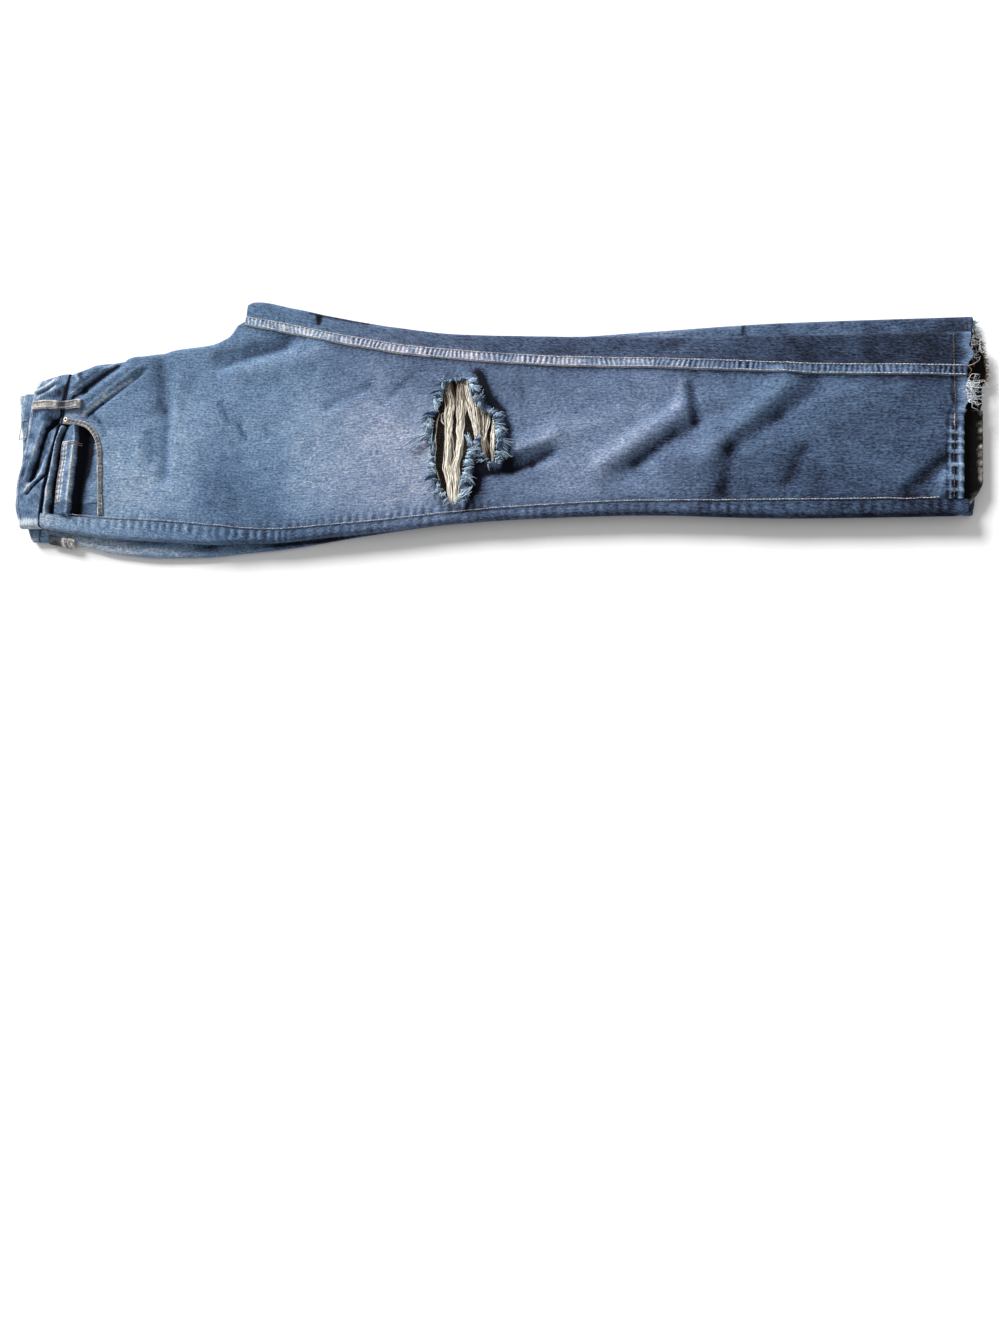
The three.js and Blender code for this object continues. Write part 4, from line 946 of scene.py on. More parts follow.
FOLD_RADIUS = 5.0
BACK_HEM_X = 1100.0
BAND_WIDTH = 40.0
BACK_TORN = (96, 106)
BACK_TEAR_MIDDLE, BACK_TEAR_HALF = 138.0, 22.0
# Where each stretch of its width starts, as shares of it: the strip, the top fold, the underside, the low
# fold and the edge beside the outseam.
BACK_STEPS = [0, 0.13, 0.22, 0.68, 0.78, 1.0]


def back_lie(front_x, v):
    """Where the back lies, v going from the inseam over the top fold, underneath and round the low fold
    to the outseam, how far under it is, from 0 to 1, and which stretch each place is on."""
    inseam, outseam = (curve(RIGHT_HALF, seam, front_x) for seam in ("inseam", "outseam"))
    top, low = (curve(RIGHT_HALF, fold, front_x) for fold in ("top", "low"))
    part = [np.clip((v - a) / (b - a), 0, 1) for a, b in zip(BACK_STEPS, BACK_STEPS[1:])]
    stage = np.clip(np.searchsorted(BACK_STEPS, v, "right") - 1, 0, 4)
    strip_y = inseam + SEAM_GAP + (top - FOLD_RADIUS - inseam - SEAM_GAP) * part[0]
    under_y = top - FOLD_RADIUS + (low - top + 2 * FOLD_RADIUS) * part[2]
    edge_y = low + FOLD_RADIUS + (outseam - SEAM_GAP - low - FOLD_RADIUS) * part[4]
    top_turn, low_turn = np.pi * part[1], np.pi * (1 - part[3])
    top_y = top - FOLD_RADIUS * (1 - np.sin(top_turn))
    low_y = low + FOLD_RADIUS * (1 - np.sin(low_turn))
    y = np.choose(stage, [strip_y, top_y, under_y, low_y, edge_y])
    top_under, low_under = (1 - np.cos(top_turn)) / 2, (1 - np.cos(low_turn)) / 2
    under = np.choose(stage, [0 * v, top_under, 1 + 0 * v, low_under, 0 * v])
    laid = top_cloth(front_x, y)
    top_z = LEG_BOTTOM + (top_cloth(front_x, top - FOLD_RADIUS) - LEG_BOTTOM) * (1 - under)
    low_z = LEG_BOTTOM + (top_cloth(front_x, low + FOLD_RADIUS) - LEG_BOTTOM) * (1 - under)
    return y, np.choose(stage, [laid, top_z, LEG_BOTTOM + 0 * v, low_z, laid]), under, stage


def back_seams(station, front_x, y, under, stage):
    """Rise and fade of the puckers that run from the outseam over the low fold, and beside the fell."""
    inseam, outseam = (curve(RIGHT_HALF, seam, front_x) for seam in ("inseam", "outseam"))
    beside = ridge(y - outseam, -6, 6.0) * (under < 0.7)
    drawn = beside * (0.3 + 0.7 * smooth(70, 130, station) * (1 - smooth(330, 380, station)))
    wave = pucker(station, 11, 61)
    fell = ridge(y - inseam, 9, 4.5) * (stage == 0)
    rise = 0.9 * drawn * wave + 0.35 * fell * pucker(station, 7, 44)
    fade = 0.3 * drawn * wave + 0.12 * smooth(100, 20, station) * beside
    # Painted shade darkens the low fold's outer line on the shin, where the cloth turns down.
    fold_edge_shade = ridge(y, curve(RIGHT_HALF, "low", front_x), 5.0) * (under < 0.6)
    return rise, fade - 0.12 * fold_edge_shade * smooth(480, 700, station)


def back_shape(u, v):
    run = WAIST_X + u * (BACK_HEM_X + TURN_UP - WAIST_X)
    station = np.minimum(run, BACK_HEM_X)
    past = np.maximum(run - BACK_HEM_X, 0)
    drawn_in = smooth(BACK_HEM_X - 120, BACK_HEM_X, station) * (FRONT_HEM_X - BACK_HEM_X)
    front_x = station + drawn_in
    y, z, under, stage = back_lie(front_x, v)
    seam_rise, seam_fade = back_seams(station, front_x, y, under, stage)
    z = z + seam_rise
    # Underneath, the inner side is painted near black as shade inside the flattened leg, and dark grey as
    # shade where it shows through the rip.
    seen = smooth(500, 530, station) * smooth(650, 620, station)
    fade = np.where(under > 0.8, -0.4 + 0.66 * seen, fade_and_shade(front_x, y) - 0.02 + seam_fade)

    seam = curve(WAIST_LINES, "front_seam", y, "y") * (1 - under)
    seam = seam + (curve(WAIST_LINES, "back_top", y, "y") + BAND_WIDTH) * under
    x = station + slide(station, seam) + (1 - under * smooth(-11, 24, y)) * drawn_in

    # The hem is torn and longer on its high half, and roped, with pale wisps inside, on the other.
    torn = smooth(*BACK_TORN, y)
    ragged = 1.6 * ripple(y, 0 * y, 4, 65) + 2.4 * ripple(y, 0 * y, 15, 66)
    longer = under * ridge(y, BACK_TEAR_MIDDLE, BACK_TEAR_HALF) + (1 - under) * smooth(*HEM_LONGER, y)
    x = x + smooth(990, BACK_HEM_X, station) * torn * (ragged + TORN_LONGER * longer)
    fade = fade + 0.3 * torn * (under < 0.3) * smooth(1072, 1082, front_x)
    rope = np.sin(2 * np.pi * (y - 0.6 * (station - 1090)) / 8.5 + 1.2 * ripple(y, 0 * y, 11, 67))
    z = z + smooth(1086, 1094, station) * under * (1 - torn) * (1.0 + 0.8 * rope)
    rim = smooth(BACK_HEM_X - 15, BACK_HEM_X - 5, station) * smooth(13, 4, past + 4 * ripple(y, past, 5, 69))
    wisps = 0.82 + 0.18 * rope + 0.45 * ripple(1.6 * x + y, 0.5 * y, 3.5, 68)
    fade = fade + rim * under * (1 - torn) * wisps
    on, down = turned_up(past)
    x = x + on
    z = z + np.where(under > 0.5, 1, -1) * down
    return np.stack([x, y, z], -1), fade, smooth(0.6, 0.9, under)


def back_keep(points, u, v):
    run = WAIST_X + u * (BACK_HEM_X + TURN_UP - WAIST_X)
    in_seat = (run < CROTCH_X - 1) & (v < BACK_STEPS[2] - 0.02)
    turned = (run > BACK_HEM_X + 0.5) & (points[:, 1] > 98)
    return ~in_seat & ~turned


right_back = seat(cloth("right_back_cloth", 520, 96, back_shape, back_keep), blue_denim)
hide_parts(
    "right_back",
    "right_back_top_edge",
    "right_back_low_edge_thigh",
    "right_back_low_edge_knee",
    "right_back_low_edge_shin",
)

# THE INSEAM
# A flat fell: both panels' edges folded together into a band 12 mm wide, sewn down along both its sides.
# Washing has puckered it between the rows into a ladder of pale ridges.

FELL_HALF = 6.0


def fell_y(x, across):
    """A line along the fell, across it from -1 to 1."""
    return curve(RIGHT_HALF, "inseam", x) + 0.6 * ripple(x, 0 * x, 60, 81) + across * FELL_HALF


def fell_shape(u, v):
    x = CROTCH_X + 0.5 + u * (FRONT_HEM_X - CROTCH_X - 1)
    across = 2 * v - 1
    y = fell_y(x, across)
    body = 1 - np.abs(across) ** 8
    wave = pucker(x + 2.2 * across * ripple(x, 0 * x, 19, 82), 5.3, 83)
    between = 1 - np.abs(across) ** 4
    z = top_cloth(x, y) + 0.2 + 1.5 * body + 0.6 * wave * between
    pale = 0.42 - 0.26 * smooth(560, 960, x)
    broken = 0.65 + 0.6 * ripple(x, y, 11, 85)
    fade = fade_and_shade(x, y) + pale + 0.27 * wave * between * broken + 0.16 * ripple(x, y, 9, 84)
    fade = fade + 0.26 * ridge(np.abs(across), 0.9, 0.12)
    x = x + smooth(HEM_DRAWN_FROM, FRONT_HEM_X, x) * (hem_x(y) - FRONT_HEM_X)
    return np.stack([x, y, z], -1), fade


fell = seat(cloth("inseam_fell_cloth", 1300, 14, fell_shape), blue_denim)
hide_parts("right_inseam_fell")
fell_x = np.linspace(CROTCH_X + 1, FRONT_HEM_X - 1, 500)
fell_rows = [on_top(np.column_stack([fell_x, fell_y(fell_x, side)]), 1.75) for side in (-0.78, 0.78)]
stitch_rows("inseam_stitches", fell_rows, cream_thread, pitch=3.4, thick=0.55, seed=4)

# The outseam is pressed open, with one row sewn beside it.
outseam_x = np.linspace(60, 1060, 600)
outseam_y = curve(RIGHT_HALF, "outseam", outseam_x) + 1.8
outseam_row = on_top(np.column_stack([outseam_x, outseam_y]), 0.5)
stitch_rows("outseam_stitches", [outseam_row], cream_thread, seed=5)

# THE WAISTBAND
# Denim folded double, 40 mm wide. Its right half runs from the back, round the fold at the outseam
# side and over the front to its centre, where two deep creases cross it.

BAND_CLOTH = 2.4
BAND_BACK_END, BAND_FRONT_END = 148.0, 170.0
BAND_STITCH_INSET = 0.09
# Where its fold starts and ends, as shares of its length, and where each stretch of its section starts:
# the outside, the top edge, the inside and the sewn edge.
BAND_FOLD = (0.42, 0.5)
BAND_SECTION = [0.0, 0.44, 0.5, 0.94, 1.0]
BAND_CREASES = [
    (54, 115, 42, 109, 2.4, -4.5),
    (42, 109, 33, 100, 2.2, -4.5),
    (33, 100, 27, 76, 1.7, -2.7),
    (27, 76, 22, 52, 1.7, -2.7),
    (22, 52, 17, 34, 1.7, -2.5),
    (38, 42, 26, 33, 1.7, -2.8),
    (26, 33, 14, 18, 1.8, -2.4),
    (29, 106, 22, 74, 2.6, 1.0),
    (22, 74, 12, 36, 2.6, 1.0),
    (36, 64, 28, 42, 3, 1.6),
    (27, 40, 13, 22, 2.6, 1.4),
    (10, 152, 34, 163, 4, 2),
    (16, 140, 36, 152, 4, 2),
    (14, 146, 34, 157, 2.2, -1),
    (12, 128, 44, 134, 6, 1),
]


def band_run(u):
    """The band's way across the leg, from the back round the fold to the front, and its angle there."""
    centre = curve(RIGHT_HALF, "low", WAIST_X) + FOLD_RADIUS
    a, b = BAND_FOLD
    turn = np.pi * np.clip((u - a) / (b - a), 0, 1)
    under_y = BAND_BACK_END + (centre - BAND_BACK_END) * np.clip(u / a, 0, 1)
    top_y = centre + (BAND_FRONT_END - centre) * np.clip((u - b) / (1 - b), 0, 1)
    return np.where(u < a, under_y, np.where(u > b, top_y, centre - FOLD_RADIUS * np.sin(turn))), turn


def band_fade(x, y, across, crease, front):
    """Worn pale along its top edge, its ridges and the fold, and dark along its seam. Its creases and two
    hollows beside them are painted dark as shade.
    """
    fade = 0.38 + (0.27 * np.minimum(crease, 0) + 0.24 * np.maximum(crease, 0)) * front
    fade = fade + 0.18 * ripple(x, y, 15, 94) + 0.17 * ripple(x, y, 7, 97)
    # Painted shade in two hollows beside the creases.
    fade = fade - 0.35 * front * ridge(x, 46, 8) * ridge(y, 107, 9)
    fade = fade - 0.34 * front * ridge(x, 38, 19) * ridge(y, 146, 9)
    fade = fade + 0.45 * smooth(-11, -16, y) * smooth(0.15, 0.6, front)
    return fade + 0.3 * ridge(across, 0, 0.05) - 0.8 * ridge(across, 1, 0.035)


def band_shape(u, v):
    y, turn = band_run(u)
    front = (1 - np.cos(turn)) / 2
    back_top = curve(WAIST_LINES, "back_top", y, "y")
    high = back_top * (1 - front) + curve(WAIST_LINES, "front_top", y, "y") * front
    seam = (back_top + BAND_WIDTH) * (1 - front) + curve(WAIST_LINES, "front_seam", y, "y") * front
    part = [np.clip((v - a) / (b - a), 0, 1) for a, b in zip(BAND_SECTION, BAND_SECTION[1:])]
    across = 1 - part[0] + part[2]
    bulge = -1.2 * np.sin(np.pi * part[1]) + 1.2 * np.sin(np.pi * part[3]) * (v < 1)
    inward = BAND_CLOTH * (part[1] - part[3])
    x = high + (seam - high) * across + bulge
    x = x + 0.8 * ripple(x, y, 19, 91) * (1 - across)
    crease = fold_rise(BAND_CREASES, x, y)
    laid = top_form(x, y) + 1.0 + crease + 0.5 * ripple(x, y, 13, 92) + 0.25 * ripple(x, y, 6, 93)
    z = LEG_BOTTOM - 0.15 + (laid - LEG_BOTTOM + 0.15) * front + np.cos(turn) * inward
    y = y + np.sin(turn) * inward
    end = smooth(0.97, 1.0, u) + smooth(0.03, 0.0, u)
    fade = band_fade(x, y, across, crease, front) + 0.2 * end
    # The front end slopes back to the top edge.
    y = y - 8.5 * front * smooth(50, 8, x) * smooth(138, BAND_FRONT_END, y)
    return np.stack([x, y, z], -1), fade


band = seat(cloth("waistband_right_cloth", 420, 90, band_shape), blue_denim)
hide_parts("waistband_right")
band_y = np.linspace(-15, 162, 160)
band_top, band_seam = (curve(WAIST_LINES, line, band_y, "y") for line in ("front_top", "front_seam"))
band_x = band_top + (band_seam - band_top) * BAND_STITCH_INSET
band_z = top_form(band_x, band_y) + 1.3 + fold_rise(BAND_CREASES, band_x, band_y)
band_z = band_z + 0.5 * ripple(band_x, band_y, 13, 92) + 0.25 * ripple(band_x, band_y, 6, 93)
band_row = np.column_stack([band_x, band_y, band_z])
stitch_rows("waistband_stitches", [band_row], cream_thread, thick=0.26, seed=6)

# The front belt loop: a worn strip folded in three, tacked down at both ends.
LOOP_HALF = 5.5
LOOP_START, LOOP_LENGTH, LOOP_Y = 9.5, 70.0, 129.3


def strip_round(v, half, thick):
    """Offsets across and up of a flat strip's rounded section."""
    turn = 2 * np.pi * v
    side = np.sign(np.cos(turn)) * np.abs(np.cos(turn)) ** 0.35
    rise = np.sign(np.sin(turn)) * np.abs(np.sin(turn)) ** 0.7
    return half * side, thick / 2 * rise


def loop_shape(u, v):
    x = LOOP_START + LOOP_LENGTH * u
    side, rise = strip_round(v, LOOP_HALF, 2.2)
    y = LOOP_Y + side + 0.5 * ripple(x, 0 * x, 21, 95)
    base = top_form(x, 0 * x + 129) + np.where(x < 52, 2.4 + 1.0 * smooth(52, 40, x), 1.8)
    sag = 1.2 * np.sin(np.pi * u) ** 0.5
    z = base + sag + rise - 0.35 * ridge(side, 0, 2.2) * (rise > 0)
    edges = ridge(np.abs(side), LOOP_HALF, 1.4)
    # Painted shadow darkens the loop where it crosses over the waistband's seam.
    fade = 0.74 + 0.16 * edges - 0.75 * np.exp(-(((x - 51) / 6) ** 4)) + 0.16 * ripple(x, y, 7, 96)
    fade = fade - 0.3 * smooth(56, 60, x) * smooth(72, 68, x) * (1 - edges) - 0.4 * smooth(76.5, 79, x)
    return np.stack([x, y, z], -1), fade


loop = seat(cloth("belt_loop_front_cloth", 90, 24, loop_shape), worn_denim)
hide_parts("belt_loop_front")
loop_x = np.linspace(12, 77, 60)
loop_z = top_form(loop_x, 0 * loop_x + 129) + 1.8 + 1.6 * smooth(52, 40, loop_x) + 1.2 + 0.9
loop_rows = [np.column_stack([loop_x, 0 * loop_x + LOOP_Y + off, loop_z]) for off in (-3.6, 3.6)]
for x in (73.2, 74.4, 75.6):
    tack_y = np.linspace(124.5, 134, 12)
    loop_rows.append(np.column_stack([0 * tack_y + x, tack_y, 0 * tack_y + loop_z[-5] - 0.2]))
stitch_rows("belt_loop_stitches", loop_rows, cream_thread, pitch=2.6, thick=0.4, seed=7)

# A belt loop at the back ends over the waistband's edge, in two rows and two bars of thread.
tack = [
    [(-12.5, 92), (-12, 104), (-11.5, 115)],
    [(-3.5, 92), (-3, 104), (-2.5, 115)],
    [(-13, 115), (-7, 116), (-1.5, 115)],
    [(-13.5, 91), (-8, 90), (-2.5, 91)],
    [(-13, 93), (-8, 92), (-3, 93)],
]
tack_rows = [np.column_stack([row, np.full(len(row), LEG_BOTTOM + 2.9)]) for row in tack]
stitch_rows("back_loop_tack", tack_rows, cream_thread, pitch=2.4, thick=0.6, seed=8)

# THE LEFT HALF
# The left leg and seat lie underneath, and show as a strip along the low edge, a strip along the top
# edge below the knee, the hem, and the waistband's edge with its own belt loop.

LEFT_HALF = {
    "x": [20, 80, 140, 193, 250, 276, 292, 350, 450, 555, 660, 774, 900, 1094],
    "low": [-37, -45, -54, -58, -57, -55, -53, -47, -31, -17, -10, -8, -11, -10],
    "top": [160, 177, 188, 198, 206, 223, 250, 238, 213, 198, 197, 200, 203, 201],
}
# The left half's fade along its low strip and its top strip, down the leg. Near the waist the low strip's
# values are raised as painted light, to offset the shade that it lies in.
LEFT_FADE = {
    "x": [40, 120, 200, 270, 340, 400, 460, 560, 700, 800, 900, 1000, 1090],
    "low": [0.66, 0.8, 0.66, 0.5, 0.36, 0.28, 0.22, 0.2, 0.2, 0.2, 0.2, 0.2, 0.2],
    "top": [0.4, 0.4, 0.4, 0.4, 0.4, 0.4, 0.4, 0.4, 0.4, 0.36, 0.29, 0.21, 0.17],
}
LEFT_HEM_X = 1094.0
LEFT_TURN_IN = 30.0
UNDER_HEIGHT = 8.4
# Where its top fold ends, its low fold starts and that ends, as shares of the way round it.
LEFT_STEPS = (0.07, 0.5, 0.57)
UNDER_ROUND = UNDER_HEIGHT / 2


def left_round(station, v):
    """Place across, and how far up, from -1 to 1, on the left half's flat tube, v going once round it."""
    low, top = curve(LEFT_HALF, "low", station), curve(LEFT_HALF, "top", station)
    a, b, c = LEFT_STEPS
    top_turn = np.pi * (np.clip(v / a, 0, 1) - 0.5)
    low_turn = np.pi * (np.clip((v - b) / (c - b), 0, 1) + 0.5)
    over = top - UNDER_ROUND + (low - top + 2 * UNDER_ROUND) * np.clip((v - a) / (b - a), 0, 1)
    back = low + UNDER_ROUND + (top - low - 2 * UNDER_ROUND) * np.clip((v - c) / (1 - c), 0, 1)
    stage = (v > a).astype(int) + (v > b) + (v > c)
    top_y = top - UNDER_ROUND + UNDER_ROUND * np.cos(top_turn)
    low_y = low + UNDER_ROUND + UNDER_ROUND * np.cos(low_turn)
    y = np.choose(stage, [top_y, over, low_y, back])
    up = np.choose(stage, [np.sin(top_turn), 1 + 0 * v, np.sin(low_turn), -1 + 0 * v])
    return y, up


def left_shape(u, v):
    run = WAIST_X + u * (LEFT_HEM_X + LEFT_TURN_IN - WAIST_X)
    station = np.minimum(run, LEFT_HEM_X)
    inside = np.maximum(run - LEFT_HEM_X, 0)
    y, up = left_round(station, v)
    inset = 1.6 * smooth(0, 1.5, inside)
    z = UNDER_ROUND + (UNDER_ROUND - inset) * up
    low, top = curve(LEFT_HALF, "low", station), curve(LEFT_HALF, "top", station)
    shows = np.clip(up + 0.4, 0, 1)
    edge = np.minimum(y - low, top - y)
    dimple = 0.5 * ripple(station, y, 31, 101) + 0.3 * ripple(station, y, 13, 102)
    z = z + shows * (dimple - 0.4) * smooth(0, 6, edge)
    on_top_side = smooth(40, 160, y)
    fade = curve(LEFT_FADE, "low", station) * (1 - on_top_side)
    fade = fade + curve(LEFT_FADE, "top", station) * on_top_side
    fade = fade + 0.07 * ripple(station, y, 23, 103) + 0.06 * ripple(station, y, 9, 108)
    # Painted shade darkens the sides that turn down.
    fade = fade - 0.1 * smooth(0.2, -0.5, up) - 0.3 * ridge(station, 863, 1.8) * on_top_side
    # Where the right leg's low edge lies on it, a painted shadow darkens it in a line.
    under_edge = y - curve(RIGHT_HALF, "low", station) + 1.5
    fade = fade - 0.4 * ridge(under_edge, 0, 2.2) * smooth(70, 100, station) * (up > 0.5)
    x = station + slide(station, curve(WAIST_LINES, "left_top", y, "y") + BAND_WIDTH)
    x = x - 1.2 * inside + 0.9 * ripple(y, 0 * y, 5, 104) * smooth(1080, LEFT_HEM_X, station)
    # Inside the turned-in hem it is painted near black as shade.
    fade = np.where(inside > 2, 0.04, fade + 0.12 * smooth(1088, LEFT_HEM_X, station))
    return np.stack([x, y, np.maximum(z, 0.0)], -1), fade


left = seat(cloth("left_half_cloth", 420, 88, left_shape), blue_denim)
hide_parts("left_layers")

# The share of its band that is turned in at the top edge, and how deep that goes.
LEFT_TURNED, LEFT_TURNED_DEPTH = 0.2, 7.5


def left_band_shape(u, v):
    run = (u - LEFT_TURNED) / (1 - LEFT_TURNED)
    y, up = left_round(0 * v + WAIST_X, v)
    depth = LEFT_TURNED_DEPTH * np.maximum(LEFT_TURNED - u, 0) / LEFT_TURNED
    inset = 1.8 * smooth(0, 1.5, depth)
    z = UNDER_ROUND + (UNDER_ROUND - inset) * up
    top = curve(WAIST_LINES, "left_top", y, "y")
    x = top + (BAND_WIDTH - 0.3) * np.maximum(run, 0) + depth
    z = z + np.clip(up, 0, 1) * 0.3 * ripple(x, y, 11, 105)
    fade = 0.52 + 0.3 * ridge(run, 0, 0.06) + 0.15 * ridge(run, 1, 0.06)
    # Painted shade darkens a fold line below the outseam, and the turned-in part is painted near black as
    # shade.
    fade = fade - 0.6 * smooth(0, -20, y) * ridge(x, 29, 1.4)
    fade = np.where(depth > 2, 0.06, fade + 0.08 * ripple(x, y, 13, 106) + 0.16 * ripple(x, y, 8, 109))
    y = y - 12 * smooth(30, 5, x) * smooth(128, 164, y)
    return np.stack([x, y, np.maximum(z, 0.0)], -1), fade


left_band = seat(cloth("waistband_left_cloth", 40, 110, left_band_shape), blue_denim)
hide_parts("waistband_left")

# The side loop's start and length down the leg, and how far its middle is up from the fold's outermost
# line. Its thread lies this far out from the middle of the fold.
SIDE_LOOP_START, SIDE_LOOP_LENGTH, SIDE_LOOP_MIDDLE = 43.0, 36.0, 7.5
SIDE_TACK_REACH = UNDER_ROUND + 3.0


def round_low(x, d, reach):
    """A place on the left half's low fold, d going from its outermost line up and over onto its top."""
    turn = np.minimum(np.pi / 2 + d / reach, np.pi)
    over = np.maximum(d - reach * np.pi / 2, 0)
    y = curve(LEFT_HALF, "low", x) + UNDER_ROUND - reach * np.sin(turn) + over
    return np.stack([x, y, UNDER_ROUND - reach * np.cos(turn)], -1)


def side_loop_shape(u, v):
    x = SIDE_LOOP_START + SIDE_LOOP_LENGTH * u
    side, rise = strip_round(v, LOOP_HALF + 0.5, 2.0)
    reach = UNDER_ROUND + 1.2 + 0.8 * np.sin(np.pi * u) + rise
    # Painted shade darkens the loop where it bridges the hollow. Its tacked end is pale, and is painted paler
    # still against the shade on that side.
    ends = smooth(0.45, 0.6, u) - 0.7 * ridge(u, 0.72, 0.035)
    fade = 0.12 + 0.85 * ends + 0.12 * ripple(x, side, 5, 107)
    return round_low(x, SIDE_LOOP_MIDDLE + side, reach), fade


side_loop = seat(cloth("belt_loop_left_cloth", 60, 24, side_loop_shape), worn_denim)
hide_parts("belt_loop_left")

# The loop's end is tacked down in cream thread: three bars across it, and a row along each side.
tack_x, tack_d = np.linspace(64, 78, 12), np.linspace(1.5, 13.5, 12)
side_rows = [round_low(np.full(12, x), tack_d, SIDE_TACK_REACH) for x in (66.0, 72.0, 77.0)]
side_rows += [round_low(tack_x, np.full(12, d), SIDE_TACK_REACH) for d in (2.0, 13.0)]
stitch_rows("side_loop_tack", side_rows, cream_thread, pitch=2.6, thick=0.7, seed=9)

# THE RIP
# Bare cream weft crosses the torn knee in loose bundles. The cloth between its two holes has rolled up,
# and every torn edge ends in tufts of curled blue and white warp.

# Each bundle: how many yarns, half its width, how soiled it is, and the points that it follows.
WEFT = [
    (30, 4.7, 0.0, [
        (540, 149), (541, 135), (544, 118), (543, 103), (544, 82), (544, 62), (547, 42), (550, 19), (552, -6),
    ]),
    (30, 4.9, 0.0, [
        (556, 149), (556, 135), (557, 117), (557, 92), (558, 72), (557, 57), (556, 37), (558, 19), (557, -6),
    ]),
    (30, 4.6, 0.0, [(562, 151), (565, 135), (570, 113), (574, 97), (577, 84), (578, 68)]),
    (16, 3.6, 0.45, [(573, 140), (577, 122), (581, 105), (583, 90), (585, 74), (589, 58)]),
    (14, 1.9, 0.0, [(589, 112), (590, 97), (586, 81), (584, 72), (587, 58), (591, 42)]),
    (18, 2.2, 0.0, [(597, 110), (597, 97), (596, 81), (595, 66), (597, 54), (597, 39)]),
    (2, 0.3, 0.0, [(532, 106), (531, 99), (530, 78), (530, 63), (531, 48), (534, 35), (537, 28)]),
    (2, 0.4, 0.0, [
        (544, 120), (540, 108), (535, 104), (536, 98), (541, 90), (549, 79), (551, 66), (553, 50),
    ]),
]


def along(points, count):
    """A smooth path through a few points."""
    points = np.asarray(points, float)
    table = {"step": list(range(len(points))), **{str(k): points[:, k] for k in range(points.shape[1])}}
    steps = np.linspace(0, len(points) - 1, count)
    return np.stack([curve(table, str(k), steps, "step") for k in range(points.shape[1])], -1)


def weft_bundle(strands, half, soil, points, chance):
    """The yarns of one bundle, side by side along its path, and their tones."""
    lines, tones = [], []
    path = along(points, 64)
    run = np.concatenate([[0], np.cumsum(np.linalg.norm(np.diff(path, axis=0), axis=1))])
    inside = np.sin(np.pi * np.linspace(0, 1, 64)) ** 0.4
    sway = 1.3 * ripple(run, 0 * run + half, 13, 124)
    for k in range(strands):
        lane = 2 * (k + 0.5) / strands - 1
        drift = half * 0.45 * ripple(run, 0 * run + 7 * k, 19, 121)
        drift = drift + 0.8 * ripple(run, 0 * run + 5 * k, 7, 122)
        x = path[:, 0] + (lane * half + drift + sway) * (0.45 + 0.55 * inside)
        y = path[:, 1] + chance.uniform(-2.5, 2.5)
        swell = 1.9 * (1 - lane * lane) + 1.1 * ripple(run, 0 * run + 9 * k, 11, 123)
        z = top_form(x, y) - 3.0 + inside * (2.2 + swell)
        lines.append(np.stack([x, y, z], -1))
        # Their ends are darkened brown under the waist-side edge, as stain and painted shade, and soiled
        # brown in the side hole.
        soiled_and_shaded = soil + 0.55 * smooth(102, 130, y) * smooth(564, 556, x)
        soiled_and_shaded = soiled_and_shaded + 0.5 * smooth(70, 54, y) * smooth(582, 587, x) * smooth(601, 596, x)
        # The middle yarns, on top of the bundle, are painted lighter than those at its sides, as light and
        # shade.
        tones.append(chance.uniform(0.1, 0.95) + 0.15 * (1 - lane * lane) - soiled_and_shaded)
    return lines, tones


chance = np.random.default_rng(12)
yarns, yarn_tones = [], []
for bundle in WEFT:
    lines, tones = weft_bundle(*bundle, chance)
    yarns += lines
    yarn_tones += tones
bare_weft = thread("bare_weft", srgb(90, 74, 57), srgb(246, 240, 226))
weft = seat(tubes("rip_weft_yarns", yarns, 0.46, yarn_tones), bare_weft)
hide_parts("rip_weft_main", "rip_weft_side")

# The tongue between the holes has rolled on itself.
tongue_path = along([(584, 79), (579, 68), (575, 54), (571.5, 40), (570, 24), (568, 6)], 200)


def tongue_shape(u, v):
    base = part_way(tongue_path, u * (len(tongue_path) - 1))
    twist = np.sin(2 * np.pi * u * 5.5 + 5.0 * v + 1.2 * ripple(9 * u, 0 * u, 1, 127))
    lump = 0.85 + 0.14 * twist + 0.16 * ripple(9 * u, 3 * v, 1, 125)
    lump = lump * smooth(-0.02, 0.12, u) * (0.7 + 0.5 * u)
    turn = 2 * np.pi * v
    x = base[:, 0] + 4.6 * lump * np.cos(turn) - 0.5
    z = top_form(base[:, 0], base[:, 1]) + 4.6 + 3.8 * lump * np.sin(turn)
    fade = 0.46 + 0.26 * twist + 0.2 * ripple(70 * u, 9 * v, 2.3, 126)
    return np.stack([x, base[:, 1], z], -1), fade


tongue = seat(cloth("rip_tongue_roll", 110, 28, tongue_shape), blue_denim)


def tuft(root, way, long, rise, chance, bend=None):
    """One curled strand: it leaves its root along way, rises, and curls down onto the cloth."""
    t = np.linspace(0, 1, 9)
    beside = np.array([-way[1], way[0]])
    bend = chance.normal(0, 0.5) if bend is None else bend + chance.normal(0, 0.12)
    coil = chance.uniform(0.0, 0.14) * np.sin(2 * np.pi * t * chance.uniform(1.0, 2.2) + chance.uniform(0, 6))
    place = root[:2] + long * (t[:, None] * way + (bend * t * t + coil)[:, None] * beside)
    z = root[2] + rise * np.sin(np.pi * t * 0.8) + chance.normal(0, 0.2)
    return np.column_stack([place, z])


